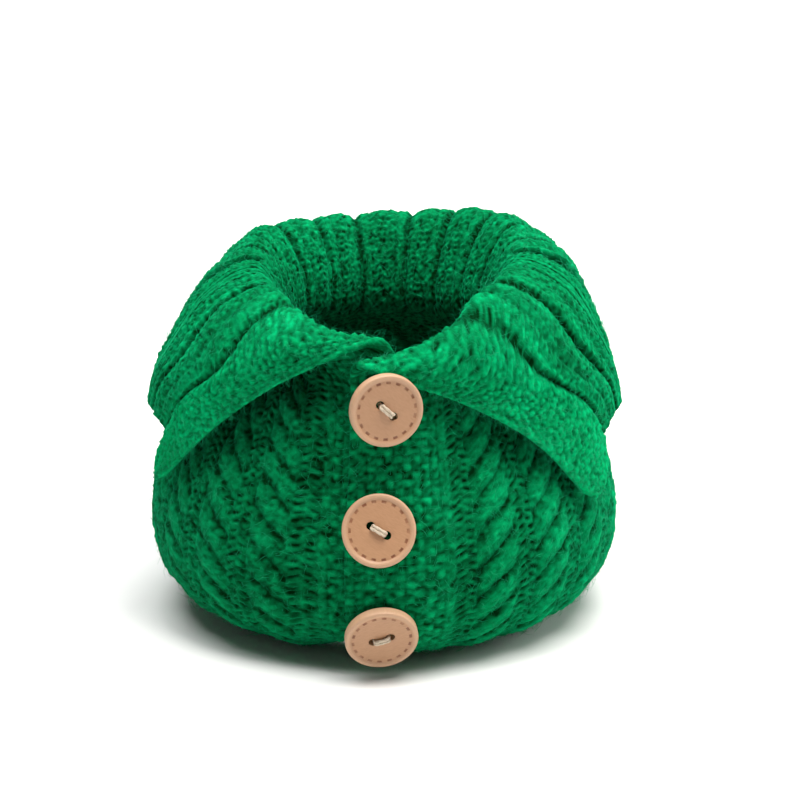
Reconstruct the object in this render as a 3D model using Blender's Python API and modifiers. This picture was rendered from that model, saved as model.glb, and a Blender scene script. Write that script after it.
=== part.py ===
"""Cable-knit tea cosy with a folded collar, a lapped band and three wooden buttons.

The cover is one knitted piece. It wraps round a teapot from the band's free edge,
past the handle, the back and the spout, to the underlap, and its wales run from the
hem up the body, through the neck and over the roll of the collar to the cast-off edge.
Angles are in degrees round the pot: 0 is the front (-Y) and 90 the handle side (+X).
"""
import math

import bmesh
import bpy
import numpy as np
from mathutils import Matrix, Vector
from mathutils.bvhtree import BVHTree

MM = 0.001

# --- driving sizes, in millimetres and degrees -------------------------------------
CLOTH = 3.0                 # thickness of the knitted cloth
LAP_STEP = 3.8              # from the middle of the underlap to the middle of the band
RIB_RISE = 1.4              # crest of a cable above the cloth's middle surface
RIB_DIP = 0.7               # floor of a purl channel below it
HEM_FLAT = 0.9              # cloth lower than this lies flat on the table

BAND_EDGE = -8.6            # free edge of the buttoned band
UNDERLAP_EDGE = 370.1       # free edge of the band beneath it, counted on round the pot
BAND_WIDTH = 23.3           # moss-stitch band
SLIT = 88.0                 # wale where each side slit is worked
SLIT_WIDTH = 2.4            # part of the purl channel that the slit takes up
FIRST_CABLE = 29.2          # first cable from the front, on either side
SIDE_CABLES = 4             # cables from a band to a slit
BACK_CABLES = 11            # cables across the back
CABLE_HALF = 5.2            # half of a cable's width
DEGREE_WIDTH = 1.6          # width of one degree of wales where the cloth is spread out
BUNCHED = (0.15, 0.55)      # share of that width over which bunched ribs come back
WRAP = 360.0

# Body profile: height, radius at the sides and back, radius at the front.
BODY = (
    ("hem", 1.5, 53.0, 53.0),
    ("on the table", 1.5, 60.5, 60.5),
    ("turn", 5.0, 70.5, 70.5),
    ("under", 11.0, 80.8, 80.8),
    ("lower", 22.0, 89.0, 88.4),
    ("widest", 40.0, 93.0, 91.5),
    ("upper", 52.0, 92.0, 90.4),
    ("button level", 63.0, 88.6, 87.3),
    ("shoulder", 76.0, 82.5, 82.6),
    ("high", 90.0, 71.5, 78.2),
    ("top", 100.0, 60.5, 76.0),
)
FRONT_FULL, FRONT_END = 18.0, 56.0     # the front's own profile fades between these
LAP_FULL, LAP_END = 11.0, 27.0         # the band comes down onto the body between these
LAP_TURN = 22.0                        # height from which the band stands right outside
HEM_TILT = 80.0                        # how far the cloth's normal points down at the hem

# Collar: for each ring round the neck, the wale and where it lies: angle, radius, height.
COLLAR = {
    "neck": (
        (-8.6, -8.6, 77.6, 111.0), (3.0, 3.0, 77.4, 112.5), (14.7, 16.0, 74.5, 111.0),
        (46.0, 48.0, 53.0, 109.0), (86.8, 87.5, 44.5, 112.0), (89.2, 90.5, 44.5, 112.0),
        (135.0, 135.0, 45.0, 113.0), (180.0, 180.0, 46.0, 113.0), (225.0, 225.0, 45.0, 113.0),
        (270.8, 269.5, 42.5, 111.0), (273.2, 272.5, 42.5, 111.0), (314.0, 312.0, 52.0, 108.0),
        (346.8, 345.0, 69.0, 110.5), (358.5, 358.0, 72.4, 112.0), (370.1, 369.6, 71.6, 111.0),
    ),
    "stand": (
        (-8.6, -8.8, 77.8, 117.0), (3.0, 4.0, 77.5, 121.0), (14.7, 28.0, 63.5, 124.0),
        (46.0, 64.0, 47.0, 125.0), (86.8, 91.5, 44.5, 126.5), (89.2, 94.5, 44.5, 126.5),
        (135.0, 137.0, 49.0, 130.0), (180.0, 180.0, 50.0, 131.0), (225.0, 223.0, 49.0, 129.0),
        (270.8, 265.5, 41.5, 124.5), (273.2, 268.5, 41.5, 124.5), (314.0, 296.0, 44.5, 122.5),
        (346.8, 332.0, 59.5, 122.0), (358.5, 354.5, 71.6, 121.0), (370.1, 366.0, 71.2, 119.0),
    ),
    "roll": (
        (-8.6, -7.2, 81.2, 122.2), (3.0, 9.0, 79.0, 127.6), (14.7, 40.0, 58.5, 139.0),
        (46.0, 69.0, 53.0, 143.0), (86.8, 93.5, 54.0, 143.5), (89.2, 97.0, 54.0, 143.5),
        (135.0, 138.0, 66.0, 148.0), (180.0, 180.0, 62.0, 144.5), (225.0, 222.0, 64.0, 143.5),
        (270.8, 263.0, 50.5, 141.0), (273.2, 266.5, 50.5, 141.0), (314.0, 291.0, 50.5, 139.0),
        (346.8, 318.5, 56.0, 136.0), (358.5, 349.5, 73.8, 131.0), (370.1, 360.5, 75.6, 129.6),
    ),
    "over": (
        (-8.6, -1.5, 86.0, 120.6), (3.0, 16.0, 84.6, 124.2), (14.7, 44.0, 73.0, 134.0),
        (46.0, 70.0, 72.5, 137.0), (86.8, 91.5, 73.0, 137.5), (89.2, 99.0, 74.0, 138.5),
        (135.0, 139.0, 83.0, 138.5), (180.0, 180.0, 78.0, 137.0), (225.0, 221.0, 80.0, 135.0),
        (270.8, 261.0, 68.5, 134.0), (273.2, 268.5, 68.5, 133.5), (314.0, 290.0, 69.5, 133.0),
        (346.8, 315.0, 71.0, 131.5), (358.5, 339.5, 80.4, 128.6), (370.1, 351.5, 81.6, 127.6),
    ),
    "fall": (
        (-8.6, 18.5, 82.0, 108.6), (3.0, 30.0, 83.5, 111.0), (14.7, 49.0, 85.5, 114.5),
        (46.0, 70.5, 88.0, 117.5), (86.8, 86.0, 85.0, 119.0), (89.2, 98.5, 84.5, 120.0),
        (135.0, 139.0, 90.0, 119.0), (180.0, 180.0, 87.5, 119.0), (225.0, 221.0, 89.0, 116.5),
        (270.8, 261.5, 82.0, 116.0), (273.2, 274.0, 82.5, 115.5), (314.0, 289.0, 86.0, 114.0),
        (346.8, 311.0, 84.5, 113.5), (358.5, 323.5, 83.0, 112.5), (370.1, 331.5, 81.4, 112.6),
    ),
    "low": (
        (-8.6, 42.0, 87.0, 87.0), (3.0, 52.0, 90.0, 91.5), (14.7, 61.0, 91.5, 97.5),
        (46.0, 75.0, 94.2, 101.5), (86.8, 84.5, 90.0, 104.5), (89.2, 98.0, 89.0, 105.0),
        (135.0, 139.0, 92.5, 104.0), (180.0, 180.0, 90.5, 104.0), (225.0, 221.0, 91.5, 101.5),
        (270.8, 262.0, 87.5, 101.0), (273.2, 275.5, 88.5, 102.5), (314.0, 285.0, 93.0, 99.5),
        (346.8, 300.5, 90.5, 98.5), (358.5, 306.0, 88.5, 95.0), (370.1, 311.5, 85.4, 91.0),
    ),
    "cast-off": (
        (-8.6, 60.0, 96.6, 55.0), (3.0, 66.5, 95.8, 65.5), (14.7, 70.0, 92.4, 79.5),
        (46.0, 77.5, 95.6, 89.0), (86.8, 85.0, 90.5, 92.0), (89.2, 98.0, 88.5, 90.0),
        (135.0, 139.0, 92.0, 88.0), (180.0, 180.0, 91.0, 89.5), (225.0, 221.0, 92.0, 86.5),
        (270.8, 262.0, 87.5, 88.5), (273.2, 275.0, 89.5, 91.0), (314.0, 282.0, 94.4, 88.6),
        (346.8, 292.0, 91.6, 81.5), (358.5, 291.0, 95.4, 69.0), (370.1, 290.2, 96.6, 57.6),
    ),
}
RINGS = tuple(COLLAR)

# Rows of faces between one ring and the next, from the hem to the cast-off edge.
ROWS = (1, 1, 1, 2, 2, 1, 1, 1, 1, 1, 1, 2, 3, 3, 3, 3, 3)

# Side slits: wale, height of the foot and the head, half-opening at the widest.
HANDLE_SLIT = {"wale": SLIT, "foot": 33.0, "head": 121.0, "half": 9.5}
SPOUT_SLIT = {"wale": WRAP - SLIT, "foot": 36.0, "head": 104.0, "half": 12.5}
SLIT_LAST_RING = 11.0       # a slit ends below this ring, the neck
PARTING_RING = 13.0         # the collar is parted from this ring, the roll
SLIT_EASE = 16.0            # how many degrees of wales a slit's opening pushes aside

# Buttons: height of the middle on the band, sideways shift, tilt up, turn to the right,
# and how far the line through the holes falls to the right.
BUTTON_D = 28.0
BUTTON_T = 4.0
BUTTON_RIM = 2.2            # width of the raised rim
BUTTON_DISH = 0.5           # how far the face lies below the rim
HOLE_D = 3.3
HOLE_PITCH = 7.1
SEAT_GAP = 0.3
BUTTONS = (
    ("top", 107.9, -1.3, 0.0, 15.0, 43.0),
    ("middle", 61.2, -1.1, 18.0, -1.0, 30.0),
    ("bottom", 20.3, -0.6, -22.0, 7.0, -18.0),
)
THREAD_D = 1.5
THREAD_LIFT = 0.35          # clear space between the thread and the button's face


def smooth_step(low, high, value):
    """0 below low, 1 above high, and an even S-curve between them."""
    share = np.clip((value - low) / (high - low), 0.0, 1.0)
    return share * share * (3.0 - 2.0 * share)


def curve_through(knots, values, at):
    """Cubic through the knots with limited slopes, so it never overshoots a value."""
    knots = np.asarray(knots, float)
    values = np.asarray(values, float)
    steps = np.diff(knots)
    rates = np.diff(values) / steps
    slopes = np.zeros_like(values)
    same = rates[:-1] * rates[1:] > 0.0
    weight_a = 2.0 * steps[1:] + steps[:-1]
    weight_b = steps[1:] + 2.0 * steps[:-1]
    safe_a = np.where(same, rates[:-1], 1.0)
    safe_b = np.where(same, rates[1:], 1.0)
    mean = (weight_a + weight_b) / (weight_a / safe_a + weight_b / safe_b)
    slopes[1:-1] = np.where(same, mean, 0.0)
    slopes[0], slopes[-1] = rates[0], rates[-1]
    at = np.clip(np.asarray(at, float), knots[0], knots[-1])
    i = np.clip(np.searchsorted(knots, at, side="right") - 1, 0, len(knots) - 2)
    t = (at - knots[i]) / steps[i]
    return (values[i] * (1 + 2 * t) * (1 - t) ** 2 + slopes[i] * steps[i] * t * (1 - t) ** 2
            + values[i + 1] * t * t * (3 - 2 * t) + slopes[i + 1] * steps[i] * t * t * (t - 1))


def signed(wale):
    """Wale angle measured from the front, negative towards the spout."""
    return np.where(wale > WRAP / 2, wale - WRAP, wale)


def lap_share(wale):
    """1 on the band that lies on top, -1 on the underlap, 0 away from the front."""
    over = 1.0 - smooth_step(LAP_FULL, LAP_END, wale)
    under = smooth_step(WRAP - LAP_END, WRAP - LAP_FULL, wale)
    return over - under


def opened(wale, height, slit):
    """How far a wale is pushed aside by what passes through the slit, in degrees."""
    share = np.clip((height - slit["foot"]) / (slit["head"] - slit["foot"]), 0.0, 1.0)
    width = np.degrees(slit["half"] / BODY[5][2]) * np.sin(np.pi * share) ** 0.8
    away = wale - slit["wale"]
    return np.sign(away) * width * np.exp(-np.abs(away) / SLIT_EASE)


def body_ring(wale, height, side, front):
    """Points of one ring of the body, one for each wale."""
    near_front = 1.0 - smooth_step(FRONT_FULL, FRONT_END, np.abs(signed(wale)))
    radius = side + (front - side) * near_front
    lap = lap_share(wale)
    raised = smooth_step(0.0, LAP_TURN, height)
    out = np.where(lap > 0, lap * raised, lap * (1.0 - raised)) * LAP_STEP
    lean = (1.0 - smooth_step(0.0, LAP_TURN, height)) * math.radians(HEM_TILT)
    radius = radius + out * math.cos(lean)
    up = height - out * math.sin(lean)
    angle = wale + opened(wale, height, HANDLE_SLIT) + opened(wale, height, SPOUT_SLIT)
    angle = np.radians(angle)
    return np.stack([radius * np.sin(angle), -radius * np.cos(angle), up], axis=-1)


def collar_ring(wale, rows):
    """Points of one ring of the collar, one for each wale."""
    table = np.array(rows)
    angle, radius, height = (curve_through(table[:, 0], table[:, k], wale) for k in (1, 2, 3))
    angle = np.radians(angle)
    return np.stack([radius * np.sin(angle), -radius * np.cos(angle), height], axis=-1)


def along_wales(rings, at):
    """Smooth curve through the rings, wale by wale, at the given ring counts."""
    gap = np.linalg.norm(np.diff(rings, axis=0), axis=-1) ** 0.5
    gap = np.maximum(gap, 1e-3)[..., None]
    first = 2 * rings[0] - rings[1]
    last = 2 * rings[-1] - rings[-2]
    points = np.concatenate([first[None], rings, last[None]])
    gap = np.concatenate([gap[:1], gap, gap[-1:]])
    out = []
    for place in at:
        i = min(int(place), len(rings) - 2)
        t = place - i
        p0, p1, p2, p3 = points[i:i + 4]
        g0, g1, g2 = gap[i:i + 3]
        m1 = g1 * ((p1 - p0) / g0 - (p2 - p0) / (g0 + g1) + (p2 - p1) / g1)
        m2 = g1 * ((p2 - p1) / g1 - (p3 - p1) / (g1 + g2) + (p3 - p2) / g2)
        out.append(p1 * (1 + 2 * t) * (1 - t) ** 2 + m1 * t * (1 - t) ** 2
                   + p2 * t * t * (3 - 2 * t) + m2 * t * t * (t - 1))
    return np.array(out)


def cable_centres():
    """Wale angles of the cables from one side of the front to the other."""
    pitch = (SLIT - FIRST_CABLE) / (SIDE_CABLES - 0.5)
    side = [FIRST_CABLE + pitch * k for k in range(SIDE_CABLES)]
    back_pitch = (WRAP - 2 * SLIT) / BACK_CABLES
    back = [SLIT + back_pitch * (k + 0.5) for k in range(BACK_CABLES)]
    return side, back, [WRAP - c for c in reversed(side)]


def wale_columns():
    """Angles of the grid's columns, and whether each stands on a crest or in a channel."""
    side, back, other = cable_centres()
    band = [BAND_WIDTH * k / 4 for k in range(5)]
    columns = [(BAND_EDGE + w, 0.0) for w in band]
    for row in (side, back, other):
        half_pitch = (row[1] - row[0]) / 2
        columns.append((row[0] - half_pitch, -1.0))
        for c in row:
            columns += [(c - CABLE_HALF, 0.35), (c, 1.0), (c + CABLE_HALF, 0.35),
                        (c + half_pitch, -1.0)]
    columns += [(UNDERLAP_EDGE - w, 0.0) for w in reversed(band)]
    table = {}
    for wale, height in columns:
        table[round(wale, 3)] = height
    for middle in (SLIT, WRAP - SLIT):
        table.pop(round(middle, 3), None)
        table[middle - SLIT_WIDTH / 2] = -1.0
        table[middle + SLIT_WIDTH / 2] = -1.0
    wales = np.array(sorted(table))
    return wales, np.array([table[w] for w in wales])


def grid_points():
    """Middle surface of the whole sheet: points, ring count of each row, wale of each column."""
    wales, crest = wale_columns()
    rings = [body_ring(wales, height, side, front) for _, height, side, front in BODY]
    rings += [collar_ring(wales, COLLAR[name]) for name in RINGS]
    places = [float(i) + k / n for i, n in enumerate(ROWS) for k in range(n)]
    places.append(float(len(ROWS)))
    return along_wales(np.array(rings), places), np.array(places), wales, crest


def raised_ribs(points, places, wales, crest):
    """Lift the cables' crests and lower the purl channels, along the sheet's normals."""
    along = np.gradient(points, axis=0)
    across = np.gradient(points, axis=1)
    normal = np.cross(across, along)
    normal /= np.linalg.norm(normal, axis=-1, keepdims=True)
    rise = np.where(crest > 0, crest * RIB_RISE, crest * RIB_DIP)
    fade = smooth_step(1.0, 2.2, places)[:, None]
    spread = np.linalg.norm(across, axis=-1) / np.gradient(wales) / DEGREE_WIDTH
    bunched = smooth_step(*BUNCHED, spread)
    return points + normal * (fade * bunched * rise)[..., None]


def material(name, colour, roughness):
    """Plain Principled material of one colour."""
    made = bpy.data.materials.new(name)
    made.use_nodes = True
    shader = made.node_tree.nodes["Principled BSDF"]
    shader.inputs["Base Color"].default_value = (*colour, 1.0)
    shader.inputs["Roughness"].default_value = roughness
    shader.inputs["Metallic"].default_value = 0.0
    made.diffuse_color = (*colour, 1.0)
    return made


def new_object(name, mesh, collection, surface, smooth=True):
    """Object of one mesh with its own material."""
    mesh.materials.clear()
    mesh.materials.append(surface)
    for face in mesh.polygons:
        face.use_smooth = smooth
    made = bpy.data.objects.new(name, mesh)
    collection.objects.link(made)
    return made


def baked(source, name):
    """Mesh of an object with its modifiers applied; the object itself is removed."""
    bpy.context.view_layer.update()
    graph = bpy.context.evaluated_depsgraph_get()
    mesh = bpy.data.meshes.new_from_object(source.evaluated_get(graph))
    mesh.name = name
    bpy.data.objects.remove(source)
    return mesh


def slit_faces(points, places, wales):
    """Row and column of each face that a slit or a parting leaves out."""
    missing = set()
    for slit in (HANDLE_SLIT, SPOUT_SLIT):
        column = int(np.searchsorted(wales, slit["wale"])) - 1
        for row in range(len(places) - 1):
            middle = (points[row, column, 2] + points[row + 1, column, 2]) / 2
            on_body = places[row] < SLIT_LAST_RING and slit["foot"] < middle < slit["head"]
            if on_body or places[row] >= PARTING_RING:
                missing.add((row, column))
    return missing


def knitted_cover(collection):
    """The whole cover as one closed solid: a grid on the folds, given its thickness."""
    points, places, wales, crest = grid_points()
    missing = slit_faces(points, places, wales)
    points = raised_ribs(points, places, wales, crest) * MM
    rows, columns = points.shape[:2]
    sheet = bmesh.new()
    bmesh.ops.create_grid(sheet, x_segments=columns - 1, y_segments=rows - 1, size=1.0)
    sheet.verts.ensure_lookup_table()
    ordered = sorted(sheet.verts, key=lambda v: (round(v.co.y, 5), round(v.co.x, 5)))
    place_of = {}
    for k, vert in enumerate(ordered):
        place_of[vert] = (k // columns, k % columns)
    for vert, (row, column) in place_of.items():
        vert.co = points[row, column]
    dropped = [face for face in sheet.faces
               if tuple(min(place_of[v][k] for v in face.verts) for k in (0, 1)) in missing]
    bmesh.ops.delete(sheet, geom=dropped, context="FACES")
    flat = bpy.data.meshes.new("sheet")
    sheet.to_mesh(flat)
    sheet.free()
    draft = bpy.data.objects.new("sheet", flat)
    collection.objects.link(draft)
    thick = draft.modifiers.new("thickness", "SOLIDIFY")
    thick.thickness = CLOTH * MM
    thick.offset = 0.0
    mesh = baked(draft, "knitted_cover")
    for vert in mesh.vertices:
        if vert.co.z < HEM_FLAT * MM:
            vert.co.z = 0.0
    green = material("green knit", (0.0, 0.17, 0.055), 0.9)
    return new_object("knitted_cover", mesh, collection, green)


def button_frame(tree, height, shift, tilt, turn):
    """Rotation of a button, and the point of the band that lies behind its middle."""
    heading = Matrix.Rotation(math.radians(turn), 4, "Z")
    lean = Matrix.Rotation(math.radians(90.0 - tilt), 4, "X")
    ahead = Vector((shift * MM, -2 * BODY[5][2] * MM, height * MM))
    on_band = tree.ray_cast(ahead, Vector((0.0, 1.0, 0.0)))[0]
    return heading @ lean, on_band


def seat_distance(tree, turn, middle):
    """How far out along the button's axis its back must stand to clear the cloth."""
    axis = turn.to_3x3() @ Vector((0.0, 0.0, 1.0))
    far = BUTTON_D * MM
    highest = -far
    for ring in range(9):
        for step in range(24):
            angle = math.tau * step / 24
            reach = BUTTON_D / 2 * MM * ring / 8
            flat = Vector((reach * math.cos(angle), reach * math.sin(angle), 0.0))
            start = middle + turn.to_3x3() @ flat + axis * far
            hit = tree.ray_cast(start, -axis)
            if hit[0] is not None:
                highest = max(highest, far - hit[3])
    return highest + SEAT_GAP * MM


def button_mesh(name, collection):
    """Turned disc with a raised rim and a rounded edge, bored with two holes."""
    radius, half = BUTTON_D / 2, BUTTON_T / 2
    profile = [(0.0, -half), (radius - 1.0, -half), (radius - 0.3, -half + 0.3),
               (radius, -half + 1.0), (radius, half - 1.2), (radius - 0.4, half - 0.4),
               (radius - 1.2, half),
               (radius - BUTTON_RIM, half - 0.1), (radius - BUTTON_RIM - 1.0, half - BUTTON_DISH),
               (0.0, half - BUTTON_DISH)]
    turned = bmesh.new()
    verts = [turned.verts.new((x * MM, 0.0, z * MM)) for x, z in profile]
    edges = [turned.edges.new(pair) for pair in zip(verts, verts[1:])]
    bmesh.ops.spin(turned, geom=verts + edges, axis=(0, 0, 1), cent=(0, 0, 0),
                   angle=math.tau, steps=32, use_merge=True, use_duplicate=False)
    bmesh.ops.remove_doubles(turned, verts=turned.verts, dist=1e-6)
    bmesh.ops.recalc_face_normals(turned, faces=turned.faces)
    mesh = bpy.data.meshes.new(name)
    turned.to_mesh(mesh)
    turned.free()
    blank = bpy.data.objects.new(name, mesh)
    collection.objects.link(blank)
    return blank


def bore_holes(blank, cutters, slant):
    """Cut the two thread holes through a button."""
    for side in (-1, 1):
        bpy.ops.mesh.primitive_cylinder_add(vertices=16, radius=HOLE_D / 2 * MM,
                                            depth=3 * BUTTON_T * MM)
        drill = bpy.context.object
        drill.name = "drill"
        drill.location = hole_place(side, slant)
        for owner in list(drill.users_collection):
            owner.objects.unlink(drill)
        cutters.objects.link(drill)
        drill.hide_render = True
        drill.display_type = "WIRE"
        cut = blank.modifiers.new("hole", "BOOLEAN")
        cut.operation = "DIFFERENCE"
        cut.solver = "EXACT"
        cut.object = drill


def hole_place(side, slant):
    """Middle of one hole in the button's own frame."""
    fall = math.radians(slant)
    reach = side * HOLE_PITCH / 2 * MM
    return Vector((reach * math.cos(fall), -reach * math.sin(fall), 0.0))


def thread_mesh(name, collection, slant):
    """Sewing thread that comes up one hole and goes down the other, as a bent tube."""
    top = (BUTTON_T / 2 - BUTTON_DISH + THREAD_LIFT + THREAD_D / 2) * MM
    foot = -BUTTON_T / 2 * MM
    bend = 0.9 * MM
    left, right = hole_place(-1, slant), hole_place(1, slant)
    inward = (right - left).normalized()
    up = Vector((0.0, 0.0, 1.0))
    route = [left + up * foot, left + up * (top - bend),
             left + inward * bend * 0.35 + up * (top - bend * 0.3),
             left + inward * bend * 1.1 + up * top]
    route += [(left + right) / 2 + up * (top + 0.1 * MM)]
    route += [right - inward * bend * 1.1 + up * top,
              right - inward * bend * 0.35 + up * (top - bend * 0.3),
              right + up * (top - bend), right + up * foot]
    curve = bpy.data.curves.new(name, "CURVE")
    curve.dimensions = "3D"
    curve.bevel_depth = THREAD_D / 2 * MM
    curve.bevel_resolution = 2
    curve.use_fill_caps = True
    line = curve.splines.new("POLY")
    line.points.add(len(route) - 1)
    for point, place in zip(line.points, route):
        point.co = (*place, 1.0)
    holder = bpy.data.objects.new(name, curve)
    collection.objects.link(holder)
    mesh = baked(holder, name)
    joined = bmesh.new()
    joined.from_mesh(mesh)
    bmesh.ops.remove_doubles(joined, verts=joined.verts, dist=1e-6)
    bmesh.ops.recalc_face_normals(joined, faces=joined.faces)
    joined.to_mesh(mesh)
    joined.free()
    return mesh


def sew_on_buttons(cloth, collection, cutters):
    """The three buttons and their threads, each seated on the band."""
    wood = material("button wood", (0.67, 0.38, 0.22), 0.55)
    cotton = material("sewing thread", (0.68, 0.57, 0.40), 0.8)
    shape = bmesh.new()
    shape.from_mesh(cloth.data)
    tree = BVHTree.FromBMesh(shape)
    shape.free()
    made = []
    for place, height, shift, tilt, turn, slant in BUTTONS:
        rotation, middle = button_frame(tree, height, shift, tilt, turn)
        axis = rotation.to_3x3() @ Vector((0.0, 0.0, 1.0))
        reach = seat_distance(tree, rotation, middle)
        blank = button_mesh("button_" + place, collection)
        bore_holes(blank, cutters, slant)
        disc = new_object("button_" + place, baked(blank, "button_" + place), collection, wood)
        strand = thread_mesh("thread_" + place, collection, slant)
        thread = new_object("thread_" + place, strand, collection, cotton)
        for piece in (disc, thread):
            seat = middle + axis * (reach + BUTTON_T / 2 * MM)
            piece.matrix_world = Matrix.Translation(seat) @ rotation
            made.append(piece)
    return made


def centre_on_origin(pieces):
    """Shift every piece so that the whole part's box is centred over the origin."""
    bpy.context.view_layer.update()
    corners = [piece.matrix_world @ v.co for piece in pieces for v in piece.data.vertices]
    middle = [(min(c[k] for c in corners) + max(c[k] for c in corners)) / 2 for k in (0, 1)]
    for piece in pieces:
        piece.matrix_world = Matrix.Translation((-middle[0], -middle[1], 0.0)) @ piece.matrix_world


def clear_scene():
    """Remove every object of the scene the script starts from."""
    for old in list(bpy.data.objects):
        bpy.data.objects.remove(old)


def new_collection(name):
    """Collection linked to the scene."""
    made = bpy.data.collections.new(name)
    bpy.context.scene.collection.children.link(made)
    return made


def main():
    """Model the cover, sew on its buttons and centre the part on the table."""
    clear_scene()
    cosy = new_collection("tea cosy")
    cutters = new_collection("cutters")
    cover = knitted_cover(cosy)
    pieces = [cover] + sew_on_buttons(cover, cosy, cutters)
    centre_on_origin(pieces)


main()
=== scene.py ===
# %% [markdown]
# A knitted tea cosy in bottle-to-emerald green wool: rope cables run up the body, a
# moss-stitch band laps over at the front under three wooden buttons, and the top is
# folded outwards as a deep collar. This lesson builds it from the sheet of cloth up,
# as a knitter would: first the paths of the wales, then the stitches along them, then
# the wood and the sewing thread. All the stitches are real geometry, worked out with
# numpy as whole arrays, because a knitted surface is mostly small round shapes that
# catch the light, and only the fibres of the yarn are left to the material.

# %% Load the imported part
import math

import bmesh
import bpy
import numpy as np
from mathutils import Matrix, Vector


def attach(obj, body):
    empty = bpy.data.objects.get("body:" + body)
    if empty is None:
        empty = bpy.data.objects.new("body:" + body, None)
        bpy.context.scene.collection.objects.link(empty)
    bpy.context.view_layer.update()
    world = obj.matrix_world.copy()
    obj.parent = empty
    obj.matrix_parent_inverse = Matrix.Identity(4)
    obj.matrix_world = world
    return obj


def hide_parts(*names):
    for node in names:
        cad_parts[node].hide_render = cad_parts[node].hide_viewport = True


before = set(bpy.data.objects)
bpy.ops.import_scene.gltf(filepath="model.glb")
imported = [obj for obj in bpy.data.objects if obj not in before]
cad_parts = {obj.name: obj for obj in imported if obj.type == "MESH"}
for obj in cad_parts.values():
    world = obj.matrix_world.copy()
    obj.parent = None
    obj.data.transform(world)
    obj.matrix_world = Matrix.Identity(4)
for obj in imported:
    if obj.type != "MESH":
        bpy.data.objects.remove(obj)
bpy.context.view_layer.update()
MM = 0.001
print("nodes:", sorted(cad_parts))

# %% [markdown]
# The camera comes first, since the size of a visible stitch follows from it. It looks
# slightly down on the cosy from well back with a long lens, which keeps the body's
# outline nearly parallel. The light is a studio's, from square soft lamps. The key
# hangs above, to the right and a little in front, and a second lamp above on the left
# keeps that shoulder green. A low lamp at the right draws the stitches' edges, a faint
# one in front opens the deepest gaps, and the last lights only the backdrop. The
# surround is dim, since a bright one would fill the channels between the cables.

# %% Camera
FOCAL_PIXELS, PICTURE_PIXELS, SENSOR = 3242.0, 800.0, 36.0
FOCAL = FOCAL_PIXELS / PICTURE_PIXELS * SENSOR
CAMERA_AT = np.array([0.0068, -1.2432, 0.4653])
CAMERA_AIM = np.array([0.0068, 0.0, 0.0852])


def aimed(thing, place, target):
    """Put a camera or lamp at place and turn its -Z axis at target."""
    thing.location = place
    way = Vector(target) - Vector(place)
    thing.rotation_mode = "QUATERNION"
    thing.rotation_quaternion = way.to_track_quat("-Z", "Y")
    bpy.context.scene.collection.objects.link(thing)
    return thing


lens = bpy.data.cameras.new("camera")
lens.lens = FOCAL
lens.sensor_width = SENSOR
lens.clip_start, lens.clip_end = 0.05, 20.0
bpy.context.scene.camera = aimed(bpy.data.objects.new("camera", lens), CAMERA_AT, CAMERA_AIM)
print("camera", [round(float(x), 3) for x in CAMERA_AT], "lens", round(FOCAL, 1), "mm")

# %% Lamps and surround
COSY_MIDDLE, FAR_FLOOR = (0.0, 0.0, 0.07), (0.0, 2.3, 0.0)
WHITE, WARM, COOL = (1.0, 1.0, 1.0), (1.0, 0.985, 0.96), (0.97, 0.985, 1.0)
# Each lamp's place, width in metres, watts, tint, and what it is turned to.
LAMPS = (
    ("key", (0.42, -0.30, 1.50), 0.85, 28.5, WARM, COSY_MIDDLE),
    ("fill", (-0.95, -1.25, 0.65), 0.9, 0.3, COOL, COSY_MIDDLE),
    ("top", (-0.42, -0.18, 1.55), 0.8, 15.0, WHITE, COSY_MIDDLE),
    ("side", (1.0, 0.25, 0.42), 0.6, 5.0, WHITE, COSY_MIDDLE),
    ("backdrop", (0.0, 0.9, 1.5), 1.6, 45.0, WHITE, FAR_FLOOR),
)
SURROUND_TINT, SURROUND_STRENGTH = (0.95, 0.97, 1.0, 1.0), 0.10
for name, place, width, watts, tint, target in LAMPS:
    lamp = bpy.data.lights.new(name, "AREA")
    lamp.size = width
    lamp.energy = watts
    lamp.color = tint
    aimed(bpy.data.objects.new(name, lamp), place, target)

scene = bpy.context.scene
scene.view_settings.view_transform = "Standard"
if scene.world is None:
    scene.world = bpy.data.worlds.new("surround")
scene.world.use_nodes = True
surround = scene.world.node_tree.nodes["Background"]
surround.inputs["Color"].default_value = SURROUND_TINT
surround.inputs["Strength"].default_value = SURROUND_STRENGTH
print(len(LAMPS), "lamps, surround at", SURROUND_STRENGTH)

# %% [markdown]
# A material is a tree of nodes: textures and sums that end in one shader. Built by
# hand, each node takes a line to make and more to link, so a few helpers make them
# and return the output that the next one needs. Meshes get a helper too, which hands
# whole numpy arrays to Blender at once.


# %% Helpers for materials and nodes
def settings(made, **values):
    """Set a node's plain settings and unlinked sockets, with _ for a space in a name."""
    for key, value in values.items():
        if hasattr(made, key):
            setattr(made, key, value)
        else:
            made.inputs[key.replace("_", " ")].default_value = value
    return made


def new_material(name, colour, roughness):
    """Principled material; returns it with its tree and shader."""
    made = bpy.data.materials.new(name)
    made.use_nodes = True
    shader = made.node_tree.nodes["Principled BSDF"]
    settings(shader, Base_Color=(*colour, 1.0), Roughness=roughness)
    made.diffuse_color = (*colour, 1.0)
    return made, made.node_tree, shader


def node(tree, kind, source=None, **values):
    """New shader node with its settings; source feeds its first socket."""
    made = settings(tree.nodes.new(kind), **values)
    if source is not None:
        tree.links.new(source, made.inputs[0])
    return made


def feed(tree, value, socket):
    """Set a socket to a plain number or colour, or link another node's output to it."""
    if isinstance(value, tuple):
        socket.default_value = (*value, 1.0)
    elif isinstance(value, (int, float)):
        socket.default_value = value
    else:
        tree.links.new(value, socket)


print("materials before the first of ours:", len(bpy.data.materials))


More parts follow.
